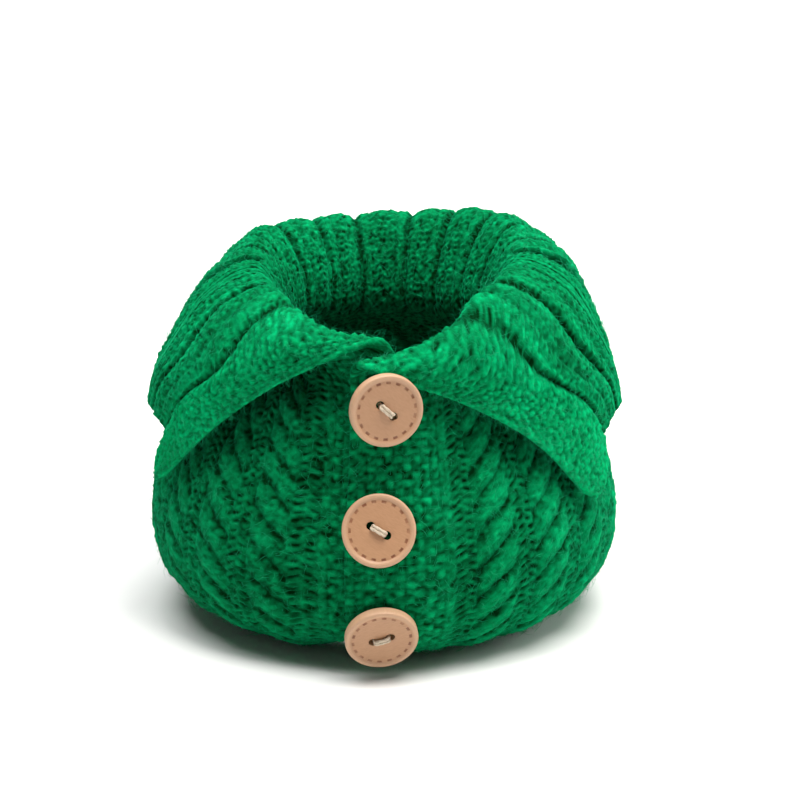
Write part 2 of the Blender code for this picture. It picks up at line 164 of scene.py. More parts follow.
# %% Helpers for sums, colours and textures
def maths(tree, operation, *terms):
    """Math node on sockets or plain numbers; returns its output."""
    made = node(tree, "ShaderNodeMath", operation=operation)
    for socket, term in zip(made.inputs, terms):
        feed(tree, term, socket)
    return made.outputs[0]


def mixed(tree, share, low, high, blend="MIX"):
    """Colour that goes from low to high as share goes from 0 to 1.

    With the blend MULTIPLY it goes to low times high instead."""
    made = node(tree, "ShaderNodeMix", data_type="RGBA", blend_type=blend)
    colours = [s for s in made.inputs if s.type == "RGBA"]
    for value, socket in zip((share, low, high), (made.inputs["Factor"], *colours)):
        feed(tree, value, socket)
    return [s for s in made.outputs if s.type == "RGBA"][0]


def ramped(tree, value, low, high):
    """0 below low, 1 above high, and straight between."""
    made = node(tree, "ShaderNodeMapRange", value, From_Min=low, From_Max=high)
    return made.outputs["Result"]


def noise(tree, source, **values):
    """Smooth noise from 0 to 1 at the coordinates that source gives."""
    return node(tree, "ShaderNodeTexNoise", source, **values).outputs["Fac"]


def bumped(tree, shader, height, strength, distance):
    """Tilt the shader's normal as a fine relief of this height would."""
    bump = node(tree, "ShaderNodeBump", Strength=strength, Distance=distance)
    tree.links.new(height, bump.inputs["Height"])
    tree.links.new(bump.outputs["Normal"], shader.inputs["Normal"])


print("helpers: maths, mixed, ramped, noise and bumped")


# %% Helper for meshes
def mesh_object(name, points, faces, surface, uv=None, values=None):
    """Object of a numpy mesh: points in metres, faces as a list of index arrays."""
    mesh = bpy.data.meshes.new(name)
    sizes = np.concatenate([np.full(len(f), f.shape[1]) for f in faces])
    loops = np.concatenate([f.ravel() for f in faces]).astype(np.int32)
    starts = np.concatenate([[0], np.cumsum(sizes)[:-1]]).astype(np.int32)
    mesh.vertices.add(len(points))
    mesh.vertices.foreach_set("co", np.asarray(points, np.float32).ravel())
    mesh.loops.add(len(loops))
    mesh.loops.foreach_set("vertex_index", loops)
    mesh.polygons.add(len(sizes))
    mesh.polygons.foreach_set("loop_start", starts)
    mesh.polygons.foreach_set("use_smooth", np.ones(len(sizes), bool))
    mesh.update(calc_edges=True)
    if uv is not None:
        layer = mesh.uv_layers.new(name="UVMap")
        layer.data.foreach_set("uv", np.asarray(uv, np.float32)[loops].ravel())
    for key, data in (values or {}).items():
        made = mesh.attributes.new(key, "FLOAT", "POINT")
        made.data.foreach_set("value", np.asarray(data, np.float32))
    mesh.materials.append(surface)
    mesh.validate()
    made = bpy.data.objects.new(name, mesh)
    bpy.context.scene.collection.objects.link(made)
    return made


def triangles(made):
    """Number of triangles in an object's mesh: each face's corners less two."""
    return sum(len(f.vertices) - 2 for f in made.data.polygons)


# %% [markdown]
# The cosy stands on a pale matt floor that runs so far back that it is the backdrop
# too. It could be a curved sheet, but one flat square does, since only its tone and
# the soft shadow on it are seen.

# %% The floor
FLOOR_HALF = 2.5
floor_matt, _, _ = new_material("pale floor", (0.86, 0.86, 0.85), 0.9)
corners = np.array([(-1, -1, 0), (1, -1, 0), (1, 1, 0), (-1, 1, 0)]) * FLOOR_HALF
floor = mesh_object("floor", corners, [np.array([[0, 1, 2, 3]])], floor_matt)
print("floor", 2 * FLOOR_HALF, "m square")

# %% [markdown]
# A knitted sheet has two directions: wales, the columns of stitches, and rows. The
# whole cover is one such sheet. Its wales start at the hem, run up the body, through
# the neck and over the roll of the collar to the cast-off edge, and it is wrapped
# round the pot from the free edge of the buttoned band to the underlap beneath it.
# So the shape is a function of two parameters: the wale, as an angle round the pot,
# and the ring, a count along the wale. A few named rings are enough, since a smooth
# curve through them gives the rest. A cloth simulation could drape the sheet instead,
# but the knitting and the pot hold each fold where it is, so the folds are given.
# Angles are in degrees, 0 at the front and 90 at the handle side; lengths are in
# millimetres.

# %% Bands, cables and slits, by wale
WRAP = 360.0
BAND_EDGE, UNDERLAP_EDGE, BAND_WIDTH = -8.6, 370.1, 23.3
SLIT, SLIT_WIDTH = 88.0, 2.4
FIRST_CABLE, SIDE_CABLES, BACK_CABLES = 29.2, 4, 11
CABLE_HALF = 5.65
# Each slit's wale, the heights of its foot and head, and half of how wide it is pushed.
HANDLE_SLIT = {"wale": SLIT, "foot": 33.0, "head": 121.0, "half": 9.5}
SPOUT_SLIT = {"wale": WRAP - SLIT, "foot": 36.0, "head": 104.0, "half": 12.5}
# Degrees over which that push fades beside the slit.
SLIT_EASE = 16.0
print("the bands lap over by", round(UNDERLAP_EDGE - WRAP - BAND_EDGE, 1), "degrees")

# %% Rings of the body
# The body is its own radius at the front up to FRONT_FULL degrees, and that of the
# sides from FRONT_END on. Two bands can't fill one place: from LAP_TURN up the upper
# one is pushed out by LAP_STEP, and at the hem the under one is lifted instead, since
# the hem is turned in below by HEM_TILT.
FRONT_FULL, FRONT_END = 18.0, 56.0
LAP_STEP, LAP_FULL, LAP_END, LAP_TURN = 3.8, 11.0, 27.0, 22.0
HEM_TILT = 80.0
# Height, radius at the sides and back, radius at the front.
BODY = (
    (1.5, 53.0, 53.0), (1.5, 60.5, 60.5), (5.0, 70.5, 70.5), (11.0, 80.8, 80.8),
    (22.0, 89.0, 88.4), (40.0, 93.0, 91.5), (52.0, 92.0, 90.4), (63.0, 88.6, 87.3),
    (76.0, 82.5, 82.6), (90.0, 71.5, 78.2), (100.0, 60.5, 76.0),
)
WIDEST = max(radius for _, radius, _ in BODY)
print(len(BODY), "rings of the body, up to", WIDEST, "mm from the axis")

# %% Rings of the collar
# At the same wales round every ring, where the cloth lies: angle, radius and height.
COLLAR_WALES = (
    BAND_EDGE, 3.0, 14.7, 46.0, 86.8, 89.2, 135.0, 180.0, 225.0, 270.8, 273.2, 314.0,
    346.8, 358.5, UNDERLAP_EDGE,
)
COLLAR = {
    "neck": (
        (-8.6, 77.6, 111.0), (3.0, 77.4, 112.5), (16.0, 74.5, 111.0), (48.0, 53.0, 109.0),
        (87.5, 44.5, 112.0), (90.5, 44.5, 112.0), (135.0, 45.0, 113.0), (180.0, 46.0, 113.0),
        (225.0, 45.0, 113.0), (269.5, 42.5, 111.0), (272.5, 42.5, 111.0), (312.0, 52.0, 108.0),
        (345.0, 69.0, 110.5), (358.0, 72.4, 112.0), (369.6, 71.6, 111.0),
    ),
    "stand": (
        (-8.8, 77.8, 117.0), (4.0, 77.5, 121.0), (28.0, 63.5, 124.0), (64.0, 47.0, 125.0),
        (91.5, 44.5, 126.5), (94.5, 44.5, 126.5), (137.0, 49.0, 130.0), (180.0, 50.0, 131.0),
        (223.0, 49.0, 129.0), (265.5, 41.5, 124.5), (268.5, 41.5, 124.5), (296.0, 44.5, 122.5),
        (332.0, 59.5, 122.0), (354.5, 71.6, 121.0), (366.0, 71.2, 119.0),
    ),
    "roll": (
        (-7.2, 81.2, 122.2), (9.0, 79.0, 127.6), (40.0, 58.5, 139.0), (69.0, 53.0, 143.0),
        (93.5, 54.0, 143.5), (97.0, 54.0, 143.5), (138.0, 66.0, 148.0), (180.0, 62.0, 144.5),
        (222.0, 64.0, 143.5), (263.0, 50.5, 141.0), (266.5, 50.5, 141.0), (291.0, 50.5, 139.0),
        (318.5, 56.0, 136.0), (349.5, 73.8, 131.0), (360.5, 75.6, 129.6),
    ),
    "over": (
        (-1.5, 86.0, 120.6), (16.0, 84.6, 124.2), (44.0, 73.0, 134.0), (70.0, 72.5, 137.0),
        (91.5, 73.0, 137.5), (99.0, 74.0, 138.5), (139.0, 83.0, 138.5), (180.0, 78.0, 137.0),
        (221.0, 80.0, 135.0), (261.0, 68.5, 134.0), (268.5, 68.5, 133.5), (290.0, 69.5, 133.0),
        (315.0, 71.0, 131.5), (339.5, 80.4, 128.6), (351.5, 81.6, 127.6),
    ),
    "fall": (
        (18.5, 82.0, 108.6), (30.0, 83.5, 111.0), (49.0, 85.5, 114.5), (70.5, 88.0, 117.5),
        (86.0, 85.0, 119.0), (98.5, 84.5, 120.0), (139.0, 90.0, 119.0), (180.0, 87.5, 119.0),
        (221.0, 89.0, 116.5), (261.5, 82.0, 116.0), (274.0, 82.5, 115.5), (289.0, 86.0, 114.0),
        (311.0, 84.5, 113.5), (323.5, 83.0, 112.5), (331.5, 81.4, 112.6),
    ),
    "low": (
        (42.0, 87.0, 87.0), (52.0, 90.0, 91.5), (61.0, 91.5, 97.5), (75.0, 94.2, 101.5),
        (84.5, 90.0, 104.5), (98.0, 89.0, 105.0), (139.0, 92.5, 104.0), (180.0, 90.5, 104.0),
        (221.0, 91.5, 101.5), (262.0, 87.5, 101.0), (275.5, 88.5, 102.5), (285.0, 93.0, 99.5),
        (300.5, 90.5, 98.5), (306.0, 88.5, 95.0), (311.5, 85.4, 91.0),
    ),
    "cast-off": (
        (60.0, 96.6, 55.0), (66.5, 95.8, 65.5), (70.0, 92.4, 79.5), (77.5, 95.6, 89.0),
        (85.0, 90.5, 92.0), (98.0, 88.5, 90.0), (139.0, 92.0, 88.0), (180.0, 91.0, 89.5),
        (221.0, 92.0, 86.5), (262.0, 87.5, 88.5), (275.0, 89.5, 91.0), (282.0, 94.4, 88.6),
        (292.0, 91.6, 81.5), (291.0, 95.4, 69.0), (290.2, 96.6, 57.6),
    ),
}
NECK_RING = len(BODY)
ROLL_RING = NECK_RING + list(COLLAR).index("roll")
LAST_RING = len(BODY) + len(COLLAR) - 1
print(LAST_RING + 1, "rings from the hem to the cast-off edge")


# %% Curves and angles
def smooth_step(low, high, value):
    """0 below low, 1 above high, and an even S-curve between them."""
    share = np.clip((value - low) / (high - low), 0.0, 1.0)
    return share * share * (3.0 - 2.0 * share)


def unit(vectors):
    """Each vector over its own length."""
    return vectors / np.maximum(np.linalg.norm(vectors, axis=-1, keepdims=True), 1e-9)


def curve_through(knots, values, at):
    """Cubic through the knots with limited slopes, so it never overshoots a value.

    Each knot's slope is the weighted harmonic mean of the slopes on either side, or
    level where they point opposite ways."""
    steps = np.diff(knots)
    rates = np.diff(values) / steps
    slopes = np.zeros_like(values)
    same = rates[:-1] * rates[1:] > 0.0
    weight_a = 2.0 * steps[1:] + steps[:-1]
    weight_b = steps[1:] + 2.0 * steps[:-1]
    safe_a = np.where(same, rates[:-1], 1.0)
    safe_b = np.where(same, rates[1:], 1.0)
    mean = (weight_a + weight_b) / (weight_a / safe_a + weight_b / safe_b)
    slopes[1:-1] = np.where(same, mean, 0.0)
    slopes[0], slopes[-1] = rates[0], rates[-1]
    at = np.clip(at, knots[0], knots[-1])
    i = np.clip(np.searchsorted(knots, at, side="right") - 1, 0, len(knots) - 2)
    t = (at - knots[i]) / steps[i]
    return (values[i] * (1 + 2 * t) * (1 - t) ** 2 + slopes[i] * steps[i] * t * (1 - t) ** 2
            + values[i + 1] * t * t * (3 - 2 * t) + slopes[i + 1] * steps[i] * t * t * (t - 1))


def signed(wale):
    """Wale angle measured from the front, negative towards the spout."""
    return np.where(wale > WRAP / 2, wale - WRAP, wale)


def at_angle(angle, radius, height):
    """Point at an angle round the pot: radius times its sine and less its cosine."""
    angle = np.radians(angle)
    return np.stack([radius * np.sin(angle), -radius * np.cos(angle), height], axis=-1)


print("half-way up a step:", float(smooth_step(0.0, 1.0, 0.5)))


# %% One ring of the body or the collar
def opened(wale, height, slit):
    """How far a wale is pushed aside by what passes through the slit, in degrees.

    Half a wave from the slit's foot to its head, which fades out to either side."""
    share = np.clip((height - slit["foot"]) / (slit["head"] - slit["foot"]), 0.0, 1.0)
    width = np.degrees(slit["half"] / WIDEST) * np.sin(np.pi * share) ** 0.8
    away = wale - slit["wale"]
    return np.sign(away) * width * np.exp(-np.abs(away) / SLIT_EASE)


def body_ring(wale, height, side, front):
    """One ring of the body: a circle with its own radius at the front, and the lap."""
    near_front = 1.0 - smooth_step(FRONT_FULL, FRONT_END, np.abs(signed(wale)))
    radius = side + (front - side) * near_front
    over = 1.0 - smooth_step(LAP_FULL, LAP_END, wale)
    under = smooth_step(WRAP - LAP_END, WRAP - LAP_FULL, wale)
    lap = over - under
    raised = smooth_step(0.0, LAP_TURN, height)
    out = np.where(lap > 0, lap * raised, lap * (1.0 - raised)) * LAP_STEP
    lean = (1.0 - raised) * math.radians(HEM_TILT)
    pushed = wale + opened(wale, height, HANDLE_SLIT) + opened(wale, height, SPOUT_SLIT)
    return at_angle(pushed, radius + out * np.cos(lean), height - out * np.sin(lean))


def collar_ring(wale, stations):
    """One ring of the collar: angle, radius and height each a curve through its stations."""
    wales, stations = np.array(COLLAR_WALES), np.array(stations)
    return at_angle(*(curve_through(wales, stations[:, k], wale) for k in range(3)))


neck_front, neck_back = collar_ring(np.array([0.0, WRAP / 2]), COLLAR["neck"])
print("neck", round(float(neck_back[1] - neck_front[1]), 1), "mm from front to back")


# %% A smooth curve up each wale
def on_wales(rings, place):
    """Centripetal curve through the rings, wale by wale.

    place holds a ring count for each row and column. With square roots of the gaps as
    knots, the curve has no loops where two rings lie close together."""
    gap = np.maximum(np.linalg.norm(np.diff(rings, axis=0), axis=-1) ** 0.5, 1e-3)
    points = np.concatenate([[2 * rings[0] - rings[1]], rings, [2 * rings[-1] - rings[-2]]])
    gap = np.concatenate([gap[:1], gap, gap[-1:]])
    i = np.minimum(place.astype(int), len(rings) - 2)
    t = (place - i)[..., None]
    column = np.broadcast_to(np.arange(rings.shape[1]), place.shape)
    p0, p1, p2, p3 = (points[i + k, column] for k in range(4))
    g0, g1, g2 = (gap[i + k, column][..., None] for k in range(3))
    m1 = g1 * ((p1 - p0) / g0 - (p2 - p0) / (g0 + g1) + (p2 - p1) / g1)
    m2 = g1 * ((p2 - p1) / g1 - (p3 - p1) / (g1 + g2) + (p3 - p2) / g2)
    return (p1 * (1 + 2 * t) * (1 - t) ** 2 + m1 * t * (1 - t) ** 2
            + p2 * t * t * (3 - 2 * t) + m2 * t * t * (t - 1))


upright_rings = np.array([[[0.0, 0.0, 0.0]], [[0.0, 0.0, 10.0]], [[0.0, 0.0, 20.0]]])
print("half-way to a ring 10 mm up:", on_wales(upright_rings, np.array([[0.5]])).ravel())

# %% [markdown]
# The stitches across the cloth follow the knitter's chart: a ten-stitch moss band
# at each front edge, one knit stitch, then two-stitch purl channels and four-stitch
# rope cables all the way round. Each kind gets its own number, and each stitch its
# first and last wale. One pattern repeated all round would be simpler, but the bands,
# channels and cables differ in width. Five samples across a stitch and five up it are
# enough for round loops, and keep every piece of the cloth under two hundred thousand
# triangles.

# %% Chart of the stitches across the cloth
MOSS, KNIT, PURL, CABLE, JOIN = range(5)
ACROSS, UP = 5, 5
CABLE_STITCHES, CHANNEL_STITCHES = 4, 2


def cable_centres():
    """Wale angles of the cables: between band and slit, across the back, and back again."""
    pitch = (SLIT - FIRST_CABLE) / (SIDE_CABLES - 0.5)
    side = [FIRST_CABLE + pitch * k for k in range(SIDE_CABLES)]
    back_pitch = (WRAP - 2 * SLIT) / BACK_CABLES
    back = [SLIT + back_pitch * (k + 0.5) for k in range(BACK_CABLES)]
    return side, back, [WRAP - c for c in reversed(side)]


def run(kind, first, last, count, centre=0.0):
    """A few stitches of one kind, side by side."""
    edges = np.linspace(first, last, count + 1)
    return [(kind, edges[k], edges[k + 1], centre) for k in range(count)]


def panel(centres, first, last, kind_first, kind_last):
    """Cables with purl channels between them, from first to last."""
    made = run(PURL, first, centres[0] - CABLE_HALF, kind_first)
    for k, centre in enumerate(centres):
        made += run(CABLE, centre - CABLE_HALF, centre + CABLE_HALF, CABLE_STITCHES, centre)
        if k < len(centres) - 1:
            made += run(PURL, centre + CABLE_HALF, centres[k + 1] - CABLE_HALF, CHANNEL_STITCHES)
    return made + run(PURL, centres[-1] + CABLE_HALF, last, kind_last)


EDGE_KNIT, BAND_STITCHES = 2.55, 10
slit_a, slit_b = SLIT - SLIT_WIDTH / 2, SLIT + SLIT_WIDTH / 2
side, back, other = cable_centres()
band_end, under_end = BAND_EDGE + BAND_WIDTH, UNDERLAP_EDGE - BAND_WIDTH
chart = run(MOSS, BAND_EDGE, band_end, BAND_STITCHES)
chart += run(KNIT, band_end, band_end + EDGE_KNIT, 1)
chart += panel(side, band_end + EDGE_KNIT, slit_a, 2, 1)
chart += run(JOIN, slit_a, slit_b, 1)
chart += panel(back, slit_b, WRAP - slit_b, 1, 1)
chart += run(JOIN, WRAP - slit_b, WRAP - slit_a, 1)
chart += panel(other, WRAP - slit_a, under_end - EDGE_KNIT, 1, 2)
chart += run(KNIT, under_end - EDGE_KNIT, under_end, 1)
chart += run(MOSS, under_end, UNDERLAP_EDGE, BAND_STITCHES)
kinds, first_wale, last_wale, centre_wale = (np.array(column) for column in zip(*chart))
print(len(chart), "stitches across,", int((kinds == CABLE).sum() / CABLE_STITCHES), "cables")

# %% Wales and stitches of the grid's columns
stitch_at = np.arange(len(chart) * ACROSS + 1) / ACROSS
owner = np.minimum(stitch_at.astype(int), len(chart) - 1)
column_wale = first_wale[owner] + (stitch_at - owner) * (last_wale - first_wale)[owner]
column_kind = kinds[owner]
spout_half = column_wale > WRAP / 2
print(len(column_wale), "columns,", spout_half.sum(), "of them on the spout's half")


# %% [markdown]
# Rows are spaced evenly along each wale, as they are in real knitting, so the cloth
# neither bunches nor stretches where the named rings happen to lie. The body and the
# collar each get a whole number of rows, and the neck is row 44 everywhere. Every
# wale's length is measured on a dense curve and then divided evenly.

# %% Middle surface of the cloth
BODY_ROWS, COLLAR_ROWS = 44, 42
ROW_COUNT = BODY_ROWS + COLLAR_ROWS
DENSE = 24
# Longer than any wale, in millimetres, so that all of them can be read off one line.
APART = 1e4


def joined_across(grid):
    """Columns inside the one-stitch joins at the slits lie straight between their edges."""
    grid = grid.copy()
    for k in np.flatnonzero(kinds == JOIN):
        a, b = k * ACROSS, (k + 1) * ACROSS
        share = (np.arange(ACROSS + 1) / ACROSS)[:, None]
        grid[:, a:b + 1] = grid[:, a:a + 1] * (1 - share) + grid[:, b:b + 1] * share
    return grid


def even_places(rings):
    """Row and ring count of every sample, so that each wale's rows are equally long.

    The length up to a ring is the sum of the dense curve's steps, and the ring count at
    an even share of that length is read back between them."""
    dense = np.linspace(0, LAST_RING, LAST_RING * DENSE + 1)
    curve = on_wales(rings, np.repeat(dense[:, None], rings.shape[1], axis=1))
    step = np.linalg.norm(np.diff(curve, axis=0), axis=-1)
    length = np.concatenate([np.zeros((1, rings.shape[1])), np.cumsum(step, axis=0)])
    neck = length[NECK_RING * DENSE]
    print("body", neck.min().round(1), "to", neck.max().round(1), "mm; whole wale",
          length[-1].min().round(1), "to", length[-1].max().round(1), "mm")
    row = np.arange(ROW_COUNT * UP + 1) / UP
    low = np.minimum(row / BODY_ROWS, 1.0)[:, None] * neck
    high = np.maximum((row - BODY_ROWS) / COLLAR_ROWS, 0.0)[:, None] * (length[-1] - neck)
    shift = np.arange(rings.shape[1]) * APART
    flat = np.interp((low + high + shift).T.ravel(), (length + shift).T.ravel(),
                     np.tile(dense, rings.shape[1]))
    return row, np.clip(flat.reshape(rings.shape[1], -1).T, 0, LAST_RING)


rings = [body_ring(column_wale, *ring) for ring in BODY]
rings += [collar_ring(column_wale, stations) for stations in COLLAR.values()]
rings = joined_across(np.array(rings))
row_at, place = even_places(rings)
middle = on_wales(rings, place)
across_step = np.gradient(middle, axis=1)
along_step = np.gradient(middle, axis=0)
normal = unit(np.cross(across_step, along_step))
print("grid", middle.shape[:2])

# %% Where there is room for stitches
# Stitches have no room to stand up where the wales crowd together, as in the joins at
# the slits, and the hem's turned edge is flat, so the relief fades at both.
DEGREE_WIDTH = 1.6
spread = np.linalg.norm(across_step, axis=-1) / np.gradient(column_wale) / DEGREE_WIDTH
flat_hem = smooth_step(0.6, 2.1, place)
relief_share = smooth_step(0.12, 0.5, spread) * flat_hem
print("full relief on", round(100 * float((relief_share > 0.99).mean())), "percent")


# %% [markdown]
# Now the stitches. Each kind is a height over the sheet, written with the stitch count
# u across and the row count v up:
# - a knit stitch is two leaning legs, so its height is two rounded ridges, cut by
#   V-shaped notches where one stitch slips into the next;
# - a purl stitch is a low bump with one short curved slot, and the slots sit half a row
#   higher in every second column, which gives the channels their slanted look;
# - moss stitch sets one raised bump in every second square, like a chessboard;
# - a rope cable is two strands that swap places every four rows. Seen from the front it
#   is a stack of slanting domes, because the strand behind is hidden where they cross.
# The face side shows on the body. The collar is folded outwards, so there the reverse
# shows: channels become smooth knit ribs, cables become bumpy panels with a small hole
# at each crossing, and a deep crease runs beside every rib.
# Each stitch could be a loop of yarn on its own path. In fluffy wool only the tops of
# the loops show, though, and a height over the sheet takes far fewer faces.

# %% Stitch heights
MOSS_SUNKEN, MOSS_STRIPED = 0.5, 0.14


def legs(u, v):
    """Two ridges along each wale, notched in V shapes between the rows.

    Across, each leg is half an ellipse. Up, it follows a power of the sine of the row
    count, which lags behind from the middle of the stitch outwards."""
    x = np.abs(2.0 * (u - np.floor(u)) - 1.0)
    ridge = np.sqrt(np.clip(1.0 - ((x - 0.5) / 0.54) ** 2, 0.0, 1.0))
    phase = v - 0.55 * x
    phase = phase - np.floor(phase)
    return ridge * (0.35 + 0.65 * np.sin(np.pi * phase) ** 0.6)


def to_nearest(x):
    """Signed distance to the nearest whole number."""
    return x - np.round(x)


def purl_bumps(u, v, depth):
    """Rows of bumps with one short curved slot a stitch, half a row off in every other.

    The bumps are a cosine of a row count that slants across the stitch, and the slot
    is a narrow bell along its lowest line."""
    odd = np.floor(u) % 2
    wave = v + 0.5 * odd + (1.0 - 2.0 * odd) * 0.55 * (u - np.floor(u) - 0.5)
    slot = np.exp(-(to_nearest(u - 0.5) / 0.36) ** 4 - (to_nearest(wave) / 0.17) ** 2)
    return 0.85 - 0.15 * np.cos(2 * np.pi * wave) - depth * slot


def moss_bumps(u, v):
    """A nub in every square of the chessboard, lower in every second one.

    The sine across times the sine up is above 0 on one colour of the board and below
    0 on the other. A root of it is a round nub."""
    board = np.sin(np.pi * u) * np.sin(np.pi * v)
    nub = np.clip(board, 0.0, 1.0) ** 0.5
    sunk = np.clip(-board, 0.0, 1.0) ** 0.6
    ridge = 1.0 - MOSS_STRIPED * (1.0 - np.cos(np.pi * (v - 0.5)))
    return (nub + MOSS_SUNKEN * sunk * (0.6 + 0.4 * legs(u, v))) * ridge


print("knit stitch at its middle and on a leg:", legs(np.array([0.5, 0.25]), 0.8).round(2))

# %% [markdown]
# No two stitches made by hand are alike. The counts u and v sway a little before the
# heights read them, each stitch has its own looseness, and the yarn's fluff is a fine
# unevenness on top. Plain noise would do for all of it, but a few sine waves bend the
# rows smoothly and never tear a stitch apart.

# %% Uneven hand knitting
def wobble(u, v, seed):
    """Smooth irregularity about 0: three waves of different length and heading."""
    return (np.sin(0.83 * u + 0.37 * v + 1.7 * seed) + np.sin(-0.41 * u + 0.92 * v + 2.9 * seed)
            + np.sin(1.71 * u - 1.13 * v + 0.6 * seed)) / 3.0


def softened(grid):
    """Each point averaged with its neighbours, weights 1-2-1 both ways."""
    for axis in (0, 1):
        grid = (np.roll(grid, 1, axis) + 2.0 * grid + np.roll(grid, -1, axis)) / 4.0
    return grid


random = np.random.default_rng(7)
U, V = np.meshgrid(stitch_at, row_at)
short_waves = wobble(U * 3.7, V * 2.9, 4.0)
U_WOB = U + 0.10 * wobble(U * 0.9, V * 1.1, 1.0) + 0.11 * short_waves
V_SWAY = V + 0.20 * wobble(U * 1.3, V * 0.5, 2.0)
V_WOB = V_SWAY + 0.12 * wobble(U * 2.6, V * 3.4, 7.0)
by_stitch = random.uniform(0.66, 1.2, (ROW_COUNT + 1, len(chart) + 1))
loose = by_stitch[V.astype(int), np.minimum(U.astype(int), len(chart))]
loose = loose * (1.0 + 0.12 * wobble(U * 0.5, V * 0.4, 3.0))
slot_depth = np.clip(0.75 * softened(random.normal(1.0, 0.8, U.shape)), 0.15, 1.15)
fluff = softened(random.normal(0.0, 0.42, U.shape))
lint = softened(random.normal(0.0, 0.30, U.shape))
kind_grid = np.broadcast_to(column_kind, U.shape)
print("looseness", loose.min().round(2), "to", loose.max().round(2))

# %% [markdown]
# On the front border of the collar the cloth is folded back and pulled, so its moss
# stitches no longer line up as a chessboard. They look like round nubs of uneven size,
# close together but in no rows. A rule places them: take points of the cloth in random
# order, pass over each one that is too near to one already taken, and raise a half
# ball on every point taken.

# %% Nubs of the folded border
NUB_GAP, NUB_RADIUS = 2.1, 1.4
NUB_EVERY, NUB_BLOCKS = 3, 100


def scattered(points, gap):
    """Numbers of points picked in random order, each at least gap from those before."""
    order, picked = random.permutation(len(points)), []
    while len(order):
        picked.append(order[0])
        away = ((points[order] - points[order[0]]) ** 2).sum(axis=1)
        order = order[away >= gap * gap]
    return np.array(picked)


def nearest(points, centres):
    """Number of each point's nearest centre, and the distance to it.

    The points are taken in blocks, in single precision, to save memory."""
    centres = centres.astype(np.float32)
    number, away = [], []
    for block in np.array_split(points.astype(np.float32), NUB_BLOCKS):
        squared = ((block[:, None] - centres) ** 2).sum(axis=-1)
        number.append(squared.argmin(axis=1))
        away.append(np.sqrt(squared.min(axis=1)))
    return np.concatenate(number), np.concatenate(away).astype(float)


def nubs(points, gap, radius):
    """Height 0 to 1 of round bumps on scattered centres, each of its own height.

    One bump's height is the root of 1 less the square of the distance to its centre
    over the radius. Only every third point may be a centre."""
    centres = points[scattered(points[::NUB_EVERY], gap) * NUB_EVERY]
    number, away = nearest(points, centres)
    tall = random.uniform(0.6, 1.15, len(centres))[number]
    return tall * np.sqrt(np.clip(1.0 - (away / radius) ** 2, 0.0, 1.0))


folded = (kind_grid == MOSS) & (place > NECK_RING - 2.0)
nub_height = np.zeros(U.shape)
nub_height[folded] = nubs(middle[folded], NUB_GAP, NUB_RADIUS)
print("nubs on", folded.sum(), "points")

# %% [markdown]
# The rope cables are what catches the eye first. A knitter makes one by crossing two
# pairs of stitches every four rows, so each twist is a plump dome that slants across
# the cable and dives under the next. It could be two strands that wind round each
# other, but half of them would be hidden. So the height is a dome on each twist, lower
# towards the cable's sides, with the stitches as a finer grain along the slant. The
# two halves of the cosy are mirrored, so their cables lean opposite ways. With the
# cables known, all four kinds of stitch are put together as the face side.

# %% Rope cables
TURN_ROWS, SHIFT_ROWS = 4.0, 1.4
ROPE_FLAT, ROPE_DOME, ROPE_GRAIN, ROPE_SLANT = 0.2, 2.0, 0.7, 0.5


def rope(q, v, lean, shift):
    """Height, and painted light and shade, of a rope of two twisted strands, over the channel
    floor.

    Seen from the front a twist is a stack of slanting domes. The line between two of
    them rises as the arc sine of the way across, steep at both sides of the cable."""
    way = np.clip(lean * q, -1.0, 1.0)
    turn = (v + shift) / TURN_ROWS - ROPE_SLANT * np.arcsin(0.93 * way)
    part = turn - np.floor(turn)
    dome = np.clip(1.0 - np.abs(2.0 * part - 1.0) ** 2.0, 0.0, 1.0) ** 0.75
    side = np.clip(1.0 - np.abs(q) ** 3.0, 0.0, 1.0) ** 0.6
    grain = legs(3.0 * part, 2.6 * way + 0.37 * np.floor(turn))
    height = side * (ROPE_FLAT + ROPE_DOME * dome + ROPE_GRAIN * dome * (grain - 0.6))
    light = (0.05 + 0.95 * dome ** 1.4 * (0.45 + 0.55 * grain)) * (0.6 + 0.4 * side)
    return np.maximum(height, 0.0), light


cable_mid = centre_wale[owner]
q_grid = np.broadcast_to((column_wale - cable_mid) / CABLE_HALF, U.shape)
lean_grid = np.broadcast_to(np.where(spout_half, -1.0, 1.0), U.shape)
shift_grid = np.broadcast_to(SHIFT_ROWS * np.sin(cable_mid * 0.7), U.shape)
rope_height, rope_light = rope(q_grid + 0.07 * wobble(U * 0.6, V * 0.9, 6.0), V_WOB,
                               lean_grid, shift_grid)
print("rope up to", rope_height.max().round(2), "mm")

# %% The face side
FACE_FLOOR = -0.35
# The cables on the spout's half are a quarter lower and a quarter darker.
spout_half_damping = 1.0 - 0.25 * (lean_grid < 0)
is_moss, is_knit, is_cable = kind_grid == MOSS, kind_grid == KNIT, kind_grid == CABLE
seeds = moss_bumps(U_WOB, V_WOB)
knit = legs(U, V_WOB)
purl = purl_bumps(U + 0.06 * short_waves, 0.5 * (V_SWAY + V_WOB), slot_depth)
face = np.select(
    [is_moss, is_knit, is_cable],
    [0.2 + 1.1 * seeds * loose, 0.45 + 0.6 * knit * loose, FACE_FLOOR + rope_height * spout_half_damping],
    FACE_FLOOR + 1.05 * purl * (0.5 + 0.5 * loose))
# face_light is painted light and shade: darker in the gaps and slots between stitches, lighter on
# their tops.
face_light = np.select(
    [is_moss, is_knit, is_cable],
    [0.15 + 0.45 * seeds * loose, 0.14 + 0.23 * knit, 0.01 + 0.6 * rope_light * spout_half_damping],
    0.03 + 0.26 * purl)
print("face", face.min().round(2), "to", face.max().round(2), "mm")

